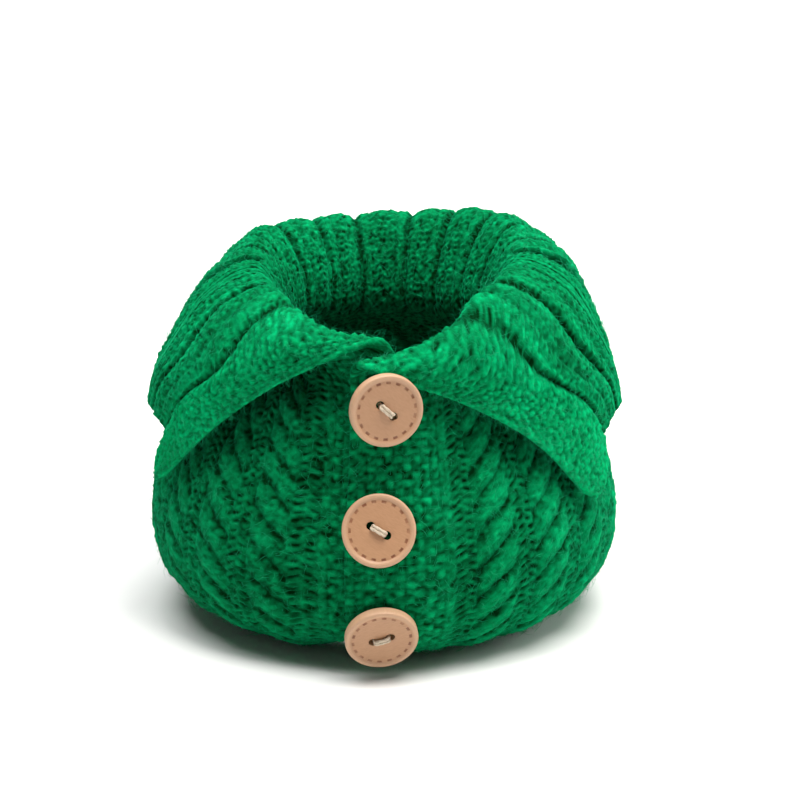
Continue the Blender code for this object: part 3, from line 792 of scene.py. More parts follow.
# %% [markdown]
# The collar's creases follow the wales, but not quite. At the cast-off edge each crease
# is on its own wale, and up at the roll it has been pulled nearer to the front, more so
# on the handle's side. So a second count of wales is worked out for them, which drifts
# from the first. Both halves of the collar have the same ribs, counted from the front,
# and the under-band's wales are matched to those of the band on top.

# %% Wales of the collar's creases
PULL_SPOUT, PULL_HANDLE = 0.12, 0.5
first_edge = FIRST_CABLE - CABLE_HALF
from_front = np.abs(signed(column_wale))
under_matched = np.interp(from_front, [0.0, WRAP - under_end, first_edge, WRAP],
                          [0.0, band_end, first_edge, WRAP])
from_front = np.where(spout_half, under_matched, from_front)
cable_at = np.sort(np.unique(np.abs(signed(np.array(side + back + other))).round(3)))
deep_at = np.concatenate([[band_end], cable_at + CABLE_HALF])
shallow_at = cable_at - CABLE_HALF
pulled = np.where(spout_half, PULL_SPOUT, PULL_HANDLE)
pulled = pulled * from_front * (1.0 - smooth_step(band_end, 3.0 * band_end, from_front))
wale_grid = (from_front + pulled * (1.0 - smooth_step(ROLL_RING, LAST_RING, place))
             + 0.35 * wobble(U * 0.3, V * 0.35, 8.0))


def between(lines, at):
    """Share of the way between the lines on either side, and the distance to the nearest."""
    spot = np.clip(np.searchsorted(lines, at), 1, len(lines) - 1)
    low, high = lines[spot - 1], lines[spot]
    return np.clip((at - low) / (high - low), 0.0, 1.0), np.abs(lines - at[..., None]).min(axis=-1)


lines_all = np.sort(np.concatenate([deep_at, shallow_at, [WRAP / 2 + CABLE_HALF]]))
band_share, _ = between(lines_all, wale_grid)
fold_share, to_deep = between(deep_at, wale_grid)
_, to_shallow = between(shallow_at, wale_grid)
on_border = wale_grid < band_end
on_collar = smooth_step(NECK_RING - 1.2, NECK_RING + 0.6, place)
past_roll = smooth_step(ROLL_RING - 1.0, ROLL_RING + 2.5, place)
print(len(deep_at), "deep and", len(shallow_at), "shallow creases on each half")

# %% Ribs, panels and creases of the reverse
PILLOW_UP, CREASE_DEEP, REVERSE_FLOOR = 1.7, 2.0, -1.9
crossing = np.cos(2 * np.pi * (V + shift_grid - TURN_ROWS / 2) / TURN_ROWS)
hole = smooth_step(0.3, 0.9, crossing) * np.exp(-(q_grid / 0.15) ** 2)
puff = 0.55 * np.sin(np.pi * band_share) ** 0.7 + 0.45 * np.sin(np.pi * fold_share) ** 0.6
pillow = np.where(on_border, np.clip((band_end - wale_grid) / 4.0, 0.0, 1.0) ** 0.5, puff)
deep = (0.55 + 0.45 * past_roll) * np.exp(-(to_deep / (2.0 - 0.85 * past_roll)) ** 2)
crease = deep + 0.16 * np.exp(-(to_shallow / 0.9) ** 2)
uneven = 1.0 + 0.25 * wobble(U * 0.25, V * 0.22, 9.0)
swell = (PILLOW_UP * pillow * uneven - CREASE_DEEP * crease) * on_collar
seeds_back = nub_height * (0.74 + 0.26 * np.cos(2 * np.pi * V_WOB))
ridges = 0.5 + 0.5 * np.sin(2 * np.pi * V_WOB + 0.9 * np.sin(2 * np.pi * U))
by_crease = np.exp(-((to_deep - 3.0) / 1.6) ** 2) * on_collar * (~on_border)
reverse = np.select(
    [is_moss, is_knit, is_cable],
    [0.2 + 1.15 * seeds_back, 0.25 + 0.6 * purl * loose,
     0.5 * purl * loose + 0.5 * ridges - 1.3 * hole],
    0.25 + (0.55 * knit + 0.35 * ridges) * loose)
reverse = reverse * (1.0 - 0.7 * np.exp(-(to_deep / 1.3) ** 2) * on_collar)
reverse = reverse * np.where(is_moss, 1.0, 0.75)
reverse = np.maximum(reverse + swell * np.where(on_border, 0.5, 1.0), REVERSE_FLOOR)
reverse = reverse * (1.0 - 0.35 * by_crease)
print("reverse", reverse.min().round(2), "to", reverse.max().round(2), "mm")

# %% Light and shade of the reverse
# Painted light and shade of the collar: shade in the creases and in the holes at the crossings,
# highlight on the nubs and beside the creases, and the whole folded border painted lighter as light
# on the flaps.
reverse_light = np.select(
    [is_moss, is_knit, is_cable],
    [0.52 + 0.64 * seeds_back + 0.25 * lint, 0.2 + 0.22 * purl,
     0.18 + 0.13 * purl + 0.12 * ridges - 0.3 * hole],
    0.17 + 0.14 * knit + 0.1 * ridges)
shade = np.minimum((1.6 - 0.5 * past_roll) * crease, 1.0)
reverse_light = reverse_light * (1.0 - 0.95 * shade * on_collar) + 0.12 * by_crease
print("light", reverse_light.min().round(2), "to", reverse_light.max().round(2))

# %% [markdown]
# The sheet has a thickness, so each piece of cloth is a closed shell: the face side,
# the reverse side, and walls round its edges. A Solidify modifier could thicken a
# single sheet, but both its sides would then have the same relief, and the two sides
# of knitting differ. Only the side that can be seen needs
# fine stitches, so the other is sampled once a row and once a stitch, and where fine
# and coarse meet, the coarse faces take in the fine edge's points so no gap opens.
# Free edges are thinned and rounded, and the last row is cast off as a chain.

# %% Edges of the cloth
FREE_EDGE = 0.7
edge_near = np.minimum(U, len(chart) - U)
top_edge = ROW_COUNT - V
edge = 0.4 + 0.6 * np.sqrt(1.0 - (1.0 - np.clip(edge_near / FREE_EDGE, 0.0, 1.0)) ** 2)
edge = edge * (0.45 + 0.55 * smooth_step(0.0, 0.6, top_edge))
knots = np.abs(np.sin(np.pi * V_WOB)) ** 0.7 * np.exp(-((edge_near - 0.35) / 0.4) ** 2)
chain = 0.3 * np.abs(np.sin(np.pi * U)) * np.exp(-((top_edge - 0.55) / 0.4) ** 2)
print("cloth thinned to", edge.min().round(2), "at its free corners")

# %% Height and light of both skins
# Where there is no room for stitches the cloth is plain, and where a side is hidden
# by the fold it has one even height.
PLAIN_FACE, PLAIN_REVERSE, HIDDEN_FACE, HIDDEN_REVERSE = 1.0, 0.9, 2.2, 1.5
show_face = 1.0 - smooth_step(NECK_RING + 0.9, NECK_RING + 1.5, place)
show_reverse = smooth_step(NECK_RING - 3.0, NECK_RING - 2.4, place)
face_h = ((face + fluff) * relief_share + PLAIN_FACE * (1.0 - relief_share)) * edge + chain
reverse_h = ((reverse + fluff + 0.7 * knots) * relief_share
             + PLAIN_REVERSE * (1.0 - relief_share)) * edge + chain
face_h = face_h * show_face + HIDDEN_FACE * edge * (1.0 - show_face)
reverse_h = reverse_h * show_reverse + HIDDEN_REVERSE * edge * (1.0 - show_reverse)
# Painted shade: the reverse is darker down into the neck and inside the body, and the border's moss
# is darker near the neck. The knots along the edges get a painted highlight.
neck_shade = 0.25 + 0.3 * smooth_step(NECK_RING - 2.0, NECK_RING, place)
neck_shade = neck_shade + 0.45 * smooth_step(NECK_RING - 0.5, ROLL_RING + 0.7, place)
border_light = 0.56 + 0.44 * smooth_step(ROLL_RING, ROLL_RING + 4.0, place)
reverse_light = reverse_light * neck_shade * np.where(is_moss, border_light, 1.0)
reverse_light = reverse_light + 0.22 * knots * on_collar
print("face up to", face_h.max().round(2), "and reverse", reverse_h.max().round(2), "mm")

# %% The two skins
SWAY_HEIGHT, CORNER, CORNER_PULL, KNOT_OUT = 0.35, 3.0, 2.6, 0.6
sway = SWAY_HEIGHT * wobble(U * 0.35, V * 0.3, 5.0)
core = middle + sway[..., None] * normal * flat_hem[..., None]
outwards = unit(across_step) * np.where(U < len(chart) / 2, -1.0, 1.0)[..., None]
corner = np.clip(1.0 - (edge_near + top_edge) / CORNER, 0.0, 1.0) * on_collar
core = core - (CORNER_PULL * corner)[..., None] * (outwards + unit(along_step))
knot_out = KNOT_OUT * knots * np.exp(-(edge_near / 0.4) ** 2) * on_collar
core = core + knot_out[..., None] * outwards
face_skin = core + normal * face_h[..., None]
reverse_skin = core - normal * reverse_h[..., None]
for skin in (face_skin, reverse_skin):
    skin[..., 2] = np.maximum(skin[..., 2], 0.0)
print("collar's corners rounded by up to", CORNER_PULL, "mm each way")

# %% [markdown]
# So far the cosy stands round its own axis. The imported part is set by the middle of
# its whole box, and the collar isn't even, so there the axis is a little to one side.
# The hem is an even ring, so the middle of the hem's points shows where.

# %% Where the cosy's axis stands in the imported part
cover_points = np.array([v.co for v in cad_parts["knitted_cover"].data.vertices])
hem_points = cover_points[cover_points[:, 2] < 0.1 * MM]
axis_at = (hem_points.min(axis=0) + hem_points.max(axis=0)) / 2
axis_at[2] = 0.0
for skin in (face_skin, reverse_skin):
    skin *= MM
    skin += axis_at
print("axis at", (axis_at / MM).round(2), "mm")

# %% [markdown]
# Faces of one skin: a fine block of squares, a coarse block, and one line of coarse
# faces between them that take in the fine points along the shared edge. The arrays of
# point numbers are cut out of one grid of numbers, so a whole block is one expression.
# The coarse block keeps one point a stitch and one a row.

# %% Faces of one skin
def squares(ids):
    """All the four-sided faces of a grid of point numbers."""
    corners = (ids[:-1, :-1], ids[:-1, 1:], ids[1:, 1:], ids[1:, :-1])
    return np.stack(corners, axis=-1).reshape(-1, 4)


def meeting(coarse_row, fine_row, fine_above):
    """Coarse faces between a row of coarse points and the fine row they meet."""
    n = len(coarse_row) - 1
    fine = np.stack([fine_row[k::ACROSS][:n] for k in range(ACROSS)]
                    + [fine_row[ACROSS::ACROSS][:n]], axis=-1)
    low = np.stack([coarse_row[:-1], coarse_row[1:]], axis=-1)
    if fine_above:
        return np.concatenate([low, fine[:, ::-1]], axis=-1)
    return np.concatenate([fine, low[:, ::-1]], axis=-1)


def skin_faces(ids, first, last):
    """Faces of one skin that is fine from row sample first to last and coarse elsewhere."""
    made = [squares(ids[first:last + 1])]
    coarse = ids[:, ::ACROSS]
    if first > 0:
        made.append(squares(coarse[0:first - UP + 1:UP]))
        made.append(meeting(coarse[first - UP], ids[first], True))
    if last < len(ids) - 1:
        made.append(squares(coarse[last + UP::UP]))
        made.append(meeting(coarse[last + UP], ids[last], False))
    return [m for m in made if len(m)]


print(len(squares(np.arange(12).reshape(3, 4))), "squares on a grid of 3 by 4 points")


# %% Walls between the two skins
def edge_points(ids, column, first, last):
    """Rows and point numbers up one side of a skin, only those that its faces use."""
    coarse = np.arange(0, len(ids), UP)
    rows = np.unique(np.concatenate([coarse, np.arange(first, last + 1)]))
    return rows, ids[rows, column]


def wall(a_rows, a_ids, b_rows, b_ids, flip):
    """One face for each step between the rows that two lines of points share."""
    made = []
    shared = np.intersect1d(a_rows, b_rows)
    for low, high in zip(shared[:-1], shared[1:]):
        one = a_ids[(a_rows >= low) & (a_rows <= high)]
        two = b_ids[(b_rows >= low) & (b_rows <= high)]
        loop = np.concatenate([one, two[::-1]])
        made.append(loop[::-1] if flip else loop)
    return made


def by_size(loops):
    """Group face loops of equal length into arrays."""
    sizes = sorted({len(x) for x in loops})
    return [np.array([x for x in loops if len(x) == n]) for n in sizes]


line_of_four = np.arange(4)
print(len(wall(line_of_four, line_of_four, line_of_four, line_of_four + 4, False)),
      "wall faces between two lines of 4 points")


# %% Closed pieces of the cloth
# The face is fine from the hem to five rows past the neck, and the reverse from ten
# rows before the neck to the cast-off edge.
FACE_LAST, REVERSE_FIRST = (BODY_ROWS + 5) * UP, (BODY_ROWS - 10) * UP
# Ten stitches or ten rows to a unit of the UV map.
UV_STITCHES = 10


def closed_faces(ids_a, ids_b, fine_a, fine_b):
    """Faces of both skins, and of the walls round their four edges."""
    faces = skin_faces(ids_a, *fine_a)
    faces += [f[:, ::-1] for f in skin_faces(ids_b, *fine_b)]
    loops = []
    for column, flip in ((0, False), (-1, True)):
        one = edge_points(ids_a, column, *fine_a)
        two = edge_points(ids_b, column, *fine_b)
        loops += wall(*one, *two, flip)
    steps = np.arange(ids_a.shape[1])
    for row, flip in ((0, True), (-1, False)):
        coarse_a = row == -1 and fine_a[1] < len(ids_a) - 1
        coarse_b = row == 0 and fine_b[0] > 0
        keep_a = steps[::ACROSS] if coarse_a else steps
        keep_b = steps[::ACROSS] if coarse_b else steps
        loops += wall(keep_a, ids_a[row][keep_a], keep_b, ids_b[row][keep_b], flip)
    return faces + by_size(loops)


def cloth_piece(name, first_stitch, last_stitch, low, high, surface):
    """Closed shell of some stitches, between two row samples of the whole cloth."""
    cut = slice(low, high + 1), slice(first_stitch * ACROSS, last_stitch * ACROSS + 1)
    shape = face_skin[cut].shape[:2]
    ids = np.arange(2 * shape[0] * shape[1]).reshape(2, *shape)
    fine_a = (0, min(FACE_LAST, high) - low)
    fine_b = (min(max(REVERSE_FIRST, low), high) - low, high - low)
    faces = closed_faces(*ids, fine_a, fine_b)
    points = np.concatenate([skin[cut].reshape(-1, 3) for skin in (face_skin, reverse_skin)])
    light = np.concatenate([(side_light + lint)[cut].ravel()
                            for side_light in (face_light, reverse_light)])
    uv = np.stack([U[cut].ravel(), V[cut].ravel()], axis=-1) / UV_STITCHES
    used = np.unique(np.concatenate([f.ravel() for f in faces]))
    renumber = np.zeros(len(points), int)
    renumber[used] = np.arange(len(used))
    return mesh_object(name, points[used], [renumber[f] for f in faces], surface,
                       np.tile(uv, (2, 1))[used], {"light": light[used]})


print("face fine to row", FACE_LAST // UP, "and reverse from row", REVERSE_FIRST // UP)


# %% [markdown]
# The wool is a soft worsted yarn. Up close it is a haze of fine fibres round each
# stitch, so it has no gloss, a light sheen at grazing angles, and a little unevenness
# in its dye. The deep places between stitches look darker and richer than the tops,
# where loose fibres catch the light, so the height of the stitch drives a painted shade
# and highlight in the colour.
# An image of wool would be quicker, but it wouldn't line up with these stitches.

# %% Green wool
# Where the neck is on the UV map, and how far to either side of it the grain changes.
COLLAR_UV, UV_FADE = BODY_ROWS / UV_STITCHES, 0.2


def wool():
    """Green yarn: colour by the stitches' painted light and shade and by dye variation,
    fibres as a fine bump.

    The grain is drawn out along the slanting plies on the body, and on the collar,
    where the yarn is teased up, it is even tufts."""
    made, tree, shader = new_material("green wool", (0.006, 0.26, 0.085), 0.92)
    where = node(tree, "ShaderNodeTexCoord").outputs
    light = node(tree, "ShaderNodeAttribute", attribute_name="light").outputs["Fac"]
    up = node(tree, "ShaderNodeSeparateXYZ", where["UV"]).outputs["Y"]
    slanted = node(tree, "ShaderNodeMapping", where["UV"],
                   Scale=(26.0, 9.0, 1.0), Rotation=(0.0, 0.0, 0.5)).outputs["Vector"]
    strands = noise(tree, slanted, Scale=6.0, Detail=3.0, Roughness=0.6)
    tufts = noise(tree, where["Object"], Scale=400.0, Detail=3.0, Roughness=0.55)
    dye = noise(tree, where["Object"], Scale=38.0, Detail=2.0, Roughness=0.5)
    fibre = noise(tree, where["Object"], Scale=1100.0, Detail=4.0, Roughness=0.7)
    collar = ramped(tree, up, COLLAR_UV - UV_FADE, COLLAR_UV + UV_FADE)
    body = maths(tree, "SUBTRACT", 1.0, collar)
    grain = maths(tree, "ADD", maths(tree, "MULTIPLY", tufts, collar),
                  maths(tree, "MULTIPLY", strands, body))
    # Painted light and shade: the light attribute gives dark green in the deep places and light
    # green on the stitch tops.
    colour = mixed(tree, ramped(tree, light, 0.0, 0.85),
                   (0.0002, 0.020, 0.0025), (0.0008, 0.425, 0.138))
    tone = mixed(tree, ramped(tree, dye, 0.35, 0.65), (0.78, 0.84, 0.80), (1.12, 1.08, 1.10))
    worn = mixed(tree, ramped(tree, grain, 0.35, 0.7), (0.72, 0.78, 0.74), (1.5, 1.22, 1.32))
    for factor in (tone, worn):
        colour = mixed(tree, 1.0, colour, factor, "MULTIPLY")
    tree.links.new(colour, shader.inputs["Base Color"])
    relief = maths(tree, "ADD", maths(tree, "MULTIPLY", grain, 0.55),
                   maths(tree, "MULTIPLY", fibre, 0.85))
    bumped(tree, shader, relief, 0.8, 0.0006)
    settings(shader, Sheen_Weight=0.40, Sheen_Roughness=0.42,
             Sheen_Tint=(0.01, 0.85, 0.36, 1.0), Specular_IOR_Level=0.02)
    return made


def fuzz():
    """Single loose fibres: the same dye, a little lighter, since light shines through."""
    made, tree, shader = new_material("loose fibres", (0.010, 0.33, 0.125), 0.9)
    dye = noise(tree, node(tree, "ShaderNodeTexCoord").outputs["Object"], Scale=300.0, Detail=1.0)
    tone = mixed(tree, ramped(tree, dye, 0.3, 0.7), (0.001, 0.22, 0.08), (0.02, 0.44, 0.20))
    tree.links.new(tone, shader.inputs["Base Color"])
    settings(shader, Specular_IOR_Level=0.1)
    return made


green, loose_green = wool(), fuzz()
print("wool's tree has", len(green.node_tree.nodes), "nodes")

# %% [markdown]
# The cover is one piece of knitting, but its stitches are too many for one mesh, so it
# is cut between stitches into five sheets: two in front, each from a band to a slit,
# and three at the back. A single stitch joins them above and below each slit.

# %% Sheets of the cloth
joins = np.flatnonzero(kinds == JOIN)
cable_stitches = np.flatnonzero(kinds == CABLE).reshape(-1, CABLE_STITCHES)
first_cut = cable_stitches[SIDE_CABLES + 3][-1] + CHANNEL_STITCHES
second_cut = cable_stitches[SIDE_CABLES + 6][-1] + CHANNEL_STITCHES
SECTIONS = (
    ("knit_front_handle_side", 0, joins[0]),
    ("knit_back_handle_side", joins[0] + 1, first_cut),
    ("knit_back_middle", first_cut, second_cut),
    ("knit_back_spout_side", second_cut, joins[1]),
    ("knit_front_spout_side", joins[1] + 1, len(chart)),
)
for name, a, b in SECTIONS:
    piece = cloth_piece(name, a, b, 0, ROW_COUNT * UP, green)
    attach(piece, "root")
    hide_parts("knitted_cover")

# %% [markdown]
# Above and below each slit the two sides are knitted together by one stitch. It is a
# piece of its own twice: from the hem up to the slit's foot, and from the slit's head
# up to the top of the roll.

# %% Joins above and below the slits
rows = np.arange(ROW_COUNT + 1)
for name, join, slit in (("handle", joins[0], HANDLE_SLIT), ("spout", joins[1], SPOUT_SLIT)):
    up = core[::UP, join * ACROSS + ACROSS // 2, 2]
    ring_count = place[::UP, join * ACROSS]
    on_body = ring_count < NECK_RING
    foot = rows[on_body & (up < slit["foot"])].max() * UP
    head = rows[(ring_count >= NECK_RING - 0.5) | (on_body & (up > slit["head"]))].min() * UP
    roll = rows[ring_count <= ROLL_RING].max() * UP
    for part, low, high in (("foot", 0, foot), ("head", head, roll)):
        piece = cloth_piece(f"knit_{name}_slit_{part}", join, join + 1, low, high, green)
        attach(piece, "root")
        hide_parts("knitted_cover")
        print(piece.name, "rows", low // UP, "to", high // UP)

# %% [markdown]
# Loose fibres stand off the yarn all over. Each is a thin spike of three sides with one
# bend, so it has seven points. Its root lies just inside a stitch, its middle leans
# along the cloth, and its tip drifts further out. All of them are one mesh, since
# every spike has the same faces and only its points differ. Blender's hair could grow
# them too, but a mesh keeps its shape in any file. A fibre is as likely to grow from a
# patch of cloth as the patch is large and light, and likelier at an edge.

# %% Roots of the loose fibres
FIBRES, EDGE_HAIR, HAIRY_EDGE = 19000, 5.0, 1.5
SHOWN, ROOMY = 0.9, 0.6
patch = np.linalg.norm(np.cross(across_step, along_step), axis=-1)
face_weight = patch * ((show_face > SHOWN) & (relief_share > ROOMY))
face_weight = face_weight * np.clip(face_light, 0.0, 1.0)
reverse_weight = patch * ((show_reverse > SHOWN) & (relief_share > ROOMY))
reverse_weight = reverse_weight * np.clip(reverse_light, 0.0, 1.0)
reverse_weight = reverse_weight * (1.0 + EDGE_HAIR * np.exp(-edge_near / HAIRY_EDGE))
weight = np.concatenate([face_weight.ravel(), reverse_weight.ravel()])
chosen = random.choice(len(weight), FIBRES, p=weight / weight.sum())
outward = np.concatenate([normal.reshape(-1, 3), -normal.reshape(-1, 3)])[chosen]
root = np.concatenate([face_skin.reshape(-1, 3), reverse_skin.reshape(-1, 3)])[chosen] / MM
print((chosen < U.size).sum(), "fibres on the face,", (chosen >= U.size).sum(), "on the reverse")

# %% Haze of loose fibres
FIBRE_R, KNEE_SHARE, FIBRE_LONG, ROOT_DEEP, ABOVE_FLOOR = 0.065, 0.8, (2.5, 8.5), 0.25, 0.02
drift = random.normal(0.0, 1.0, (FIBRES, 3))
drift = unit(drift - (drift * outward).sum(axis=1, keepdims=True) * outward)
turned = np.cross(outward, drift)
long = random.uniform(*FIBRE_LONG, (FIBRES, 1)) * random.uniform(0.4, 1.0, (FIBRES, 1))
rise, curl = random.uniform(0.1, 0.5, (FIBRES, 1)), random.normal(0.0, 0.4, (FIBRES, 1))
knee = root + long * (0.5 * drift + 0.6 * rise * outward)
tip = knee + long * (0.5 * drift + curl * turned + 0.3 * rise * outward)
root = root - ROOT_DEEP * outward
turns = np.arange(3)[:, None, None] * math.tau / 3
across = FIBRE_R * (np.cos(turns) * outward + np.sin(turns) * turned)
spikes = np.concatenate([root + across, knee + KNEE_SHARE * across, tip[None]])
spikes = spikes.transpose(1, 0, 2)
spikes[..., 2] = np.maximum(spikes[..., 2], ABOVE_FLOOR)
SPIKE_SIDES = np.array([[0, 1, 4, 3], [1, 2, 5, 4], [2, 0, 3, 5]])
SPIKE_ENDS = np.array([[3, 4, 6], [4, 5, 6], [5, 3, 6], [2, 1, 0]])
start = (np.arange(FIBRES) * spikes.shape[1])[:, None, None]
spike_faces = [(SPIKE_SIDES + start).reshape(-1, 4), (SPIKE_ENDS + start).reshape(-1, 3)]
haze = mesh_object("wool_haze", spikes.reshape(-1, 3) * MM, spike_faces, loose_green)
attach(haze, "root")
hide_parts("knitted_cover")
print(FIBRES, "fibres,", triangles(haze), "triangles")

# %% [markdown]
# A wooden button is turned on a lathe, so it is a profile spun round an axis: a flat
# back, a rounded edge, a raised rim and a shallow dish. A ring of short burnt dashes
# is pressed into the dish just inside the rim. The Spin tool could turn the profile
# too, but with the points worked out here, the dashes and the dip at the edges of the
# holes, as sanding leaves it, go in at once. The two thread holes are drilled with a
# boolean.

# %% Sizes of the button
BUTTON_D, BUTTON_T, BUTTON_DISH = 28.0, 4.0, 0.5
HOLE_D, HOLE_PITCH = 3.3, 7.1
HOLE_EASE, HOLE_EASE_WIDE = 0.25, 0.3
DASHES, DASH_RADIUS, DASH_WIDE, DASH_SHARE, DASH_DEEP = 18, 11.05, 1.0, 0.48, 0.16
STEPS_ROUND = DASHES * 8
# Tilt up, turn to the right, and fall of the line through the holes.
BUTTONS = {"top": (0.0, 15.0, 43.0), "middle": (18.0, -1.0, 30.0), "bottom": (-22.0, 7.0, -18.0)}
# From the middle out and round to the back: radius and height. The dish is flat, but it
# has a ring wherever the hole edges and the dashes need one.
DISH_RINGS = (0.0, 1.2, 2.4, 3.6, 4.8, 6.0, 7.2, 8.4, 9.6, 10.3, 10.55, 10.75, 11.0, 11.25, 11.45)
FACE_PROFILE = np.array([
    *((radius, BUTTON_T / 2 - BUTTON_DISH) for radius in DISH_RINGS),
    (11.62, 1.52), (11.85, 1.6), (12.1, 1.76), (12.35, 1.9), (12.65, 1.97),
    (13.0, 2.0), (13.3, 1.98), (13.55, 1.9), (13.75, 1.76), (13.9, 1.56), (13.98, 1.3),
    (14.0, 0.95), (14.0, 0.0), (14.0, -1.3), (13.93, -1.65), (13.75, -1.87), (13.45, -1.98),
    (13.0, -2.0), (11.0, -2.0), (7.0, -2.0), (3.5, -2.0),
])
print("profile of", len(FACE_PROFILE), "points, turned in", STEPS_ROUND, "steps")


# %% Turned disc
def hole_place(sign):
    """Middle of one thread hole in the button's own frame, in millimetres."""
    return np.array([sign * HOLE_PITCH / 2, 0.0])


def turned_points():
    """Profile spun round the axis, with the dashes pressed in and the hole edges eased.

    x and y are the radius times the cosine and sine of the turn."""
    turn = np.arange(STEPS_ROUND) * math.tau / STEPS_ROUND
    radius, height = (np.repeat(FACE_PROFILE[1:, k][:, None], STEPS_ROUND, axis=1) for k in (0, 1))
    x, y = radius * np.cos(turn), radius * np.sin(turn)
    share = turn * DASHES / math.tau
    share = share - np.floor(share)
    in_dash = (np.abs(share - 0.5) < DASH_SHARE / 2 - 0.04) & (height > 0)
    in_ring = np.abs(radius - DASH_RADIUS) < DASH_WIDE / 2
    height = height - DASH_DEEP * (in_dash & in_ring)
    for sign in (-1, 1):
        cx, cy = hole_place(sign)
        away = np.clip(np.hypot(x - cx, y - cy) - HOLE_D / 2, 0, 9)
        dip = HOLE_EASE * np.exp(-away / HOLE_EASE_WIDE)
        height = height - np.where(height > 0, dip, 0.0)
    ring = np.stack([x, y, height], axis=-1).reshape(-1, 3)
    return np.concatenate([[(0, 0, FACE_PROFILE[0, 1])], ring, [(0, 0, FACE_PROFILE[-1, 1])]])


def turned_faces(rings):
    """Squares between the rings, and a fan of triangles at either end of the axis."""
    ids = 1 + np.arange(rings * STEPS_ROUND).reshape(rings, STEPS_ROUND)
    ids = np.concatenate([ids, ids[:, :1]], axis=1)
    body = np.stack([ids[:-1, :-1], ids[1:, :-1], ids[1:, 1:], ids[:-1, 1:]], axis=-1)
    last = np.full(STEPS_ROUND, rings * STEPS_ROUND + 1)
    top = np.stack([np.zeros(STEPS_ROUND, int), ids[0, :-1], ids[0, 1:]], axis=-1)
    under = np.stack([last, ids[-1, 1:], ids[-1, :-1]], axis=-1)
    return [top, body.reshape(-1, 4), under]


print(len(turned_points()), "points on the turned disc")

# %% [markdown]
# The wood is pale beech with a thin wax. Its grain runs one way across the face, the
# rim is painted lighter as a highlight, and the ring of dashes is scorched unevenly. An
# image would do, but the pattern is plain enough to be worked out: noise drawn out along
# the grain, and for the dashes the radius and the angle at each place of the face. The
# button's own UV map holds x and y over its radius, so the pattern turns with it.

# %% Wood of the buttons
def dashes(tree, x, y, radius):
    """1 inside the ring's dashes and 0 outside: a band of radii times shares of a turn."""
    turn = maths(tree, "MULTIPLY", maths(tree, "ARCTAN2", y, x), DASHES / math.tau)
    share = maths(tree, "SUBTRACT", turn, maths(tree, "FLOOR", turn))
    along = maths(tree, "ABSOLUTE", maths(tree, "SUBTRACT", share, 0.5))
    beside = maths(tree, "ABSOLUTE", maths(tree, "SUBTRACT", radius, DASH_RADIUS / BUTTON_D * 2))
    past_end = ramped(tree, along, DASH_SHARE / 2 - 0.05, DASH_SHARE / 2 + 0.03)
    past_side = ramped(tree, beside, DASH_WIDE / BUTTON_D * 0.8, DASH_WIDE / BUTTON_D * 1.25)
    return maths(tree, "MULTIPLY", maths(tree, "SUBTRACT", 1.0, past_end),
                 maths(tree, "SUBTRACT", 1.0, past_side))


def button_wood():
    """Pale beech: fine grain across the face, a painted highlight on the rim and a ring of burnt
    dashes.
    """
    made, tree, shader = new_material("button wood", (0.62, 0.36, 0.22), 0.5)
    where = node(tree, "ShaderNodeTexCoord").outputs["UV"]
    front = node(tree, "ShaderNodeAttribute", attribute_name="front").outputs["Fac"]
    x, y = node(tree, "ShaderNodeSeparateXYZ", where).outputs[:2]
    radius = maths(tree, "SQRT", maths(tree, "ADD", maths(tree, "MULTIPLY", x, x),
                                       maths(tree, "MULTIPLY", y, y)))
    drawn_out = node(tree, "ShaderNodeMapping", where, Scale=(3.0, 34.0, 1.0)).outputs["Vector"]
    grain = noise(tree, drawn_out, Scale=1.6, Detail=5.0, Roughness=0.62, Distortion=0.5)
    speck = ramped(tree, noise(tree, where, Scale=22.0, Detail=3.0), 0.58, 0.7)
    patchy = ramped(tree, noise(tree, where, Scale=4.0, Detail=2.0), 0.35, 0.6)
    wood = mixed(tree, ramped(tree, grain, 0.32, 0.68), (0.39, 0.20, 0.098), (0.49, 0.264, 0.14))
    wood = mixed(tree, maths(tree, "MULTIPLY", speck, 0.25), wood, (0.42, 0.22, 0.11))
    # Painted highlight: the rim is lighter, as if light catches the edge.
    rim = ramped(tree, radius, 0.83, 0.9)
    wood = mixed(tree, maths(tree, "MULTIPLY", rim, 0.45), wood, (0.60, 0.39, 0.25))
    depth = maths(tree, "ADD", maths(tree, "MULTIPLY", patchy, 0.55), 0.4)
    burnt = maths(tree, "MULTIPLY", dashes(tree, x, y, radius),
                  maths(tree, "MULTIPLY", front, depth))
    tree.links.new(mixed(tree, burnt, wood, (0.19, 0.055, 0.018)), shader.inputs["Base Color"])
    bumped(tree, shader, grain, 0.25, 0.0002)
    settings(shader, Coat_Weight=0.12, Coat_Roughness=0.35)
    return made


beech = button_wood()
print("wood's tree has", len(beech.node_tree.nodes), "nodes")


# %% Drill and soften the disc
DRILL_SIDES, DRILL_LONG, SHARP_ANGLE = 40, 12, 38


def drilled(blank):
    """Bore the two holes with exact booleans and keep the result."""
    for sign in (-1, 1):
        bpy.ops.mesh.primitive_cylinder_add(vertices=DRILL_SIDES, radius=HOLE_D / 2 * MM,
                                            depth=DRILL_LONG * MM)
        drill = bpy.context.object
        drill.location = (*(hole_place(sign) * MM), 0.0)
        cut = blank.modifiers.new("hole", "BOOLEAN")
        cut.operation = "DIFFERENCE"
        cut.solver = "EXACT"
        cut.object = drill
    bpy.context.view_layer.update()
    graph = bpy.context.evaluated_depsgraph_get()
    mesh = bpy.data.meshes.new_from_object(blank.evaluated_get(graph))
    for cut in list(blank.modifiers):
        bpy.data.objects.remove(cut.object)
    bpy.data.objects.remove(blank)
    return mesh


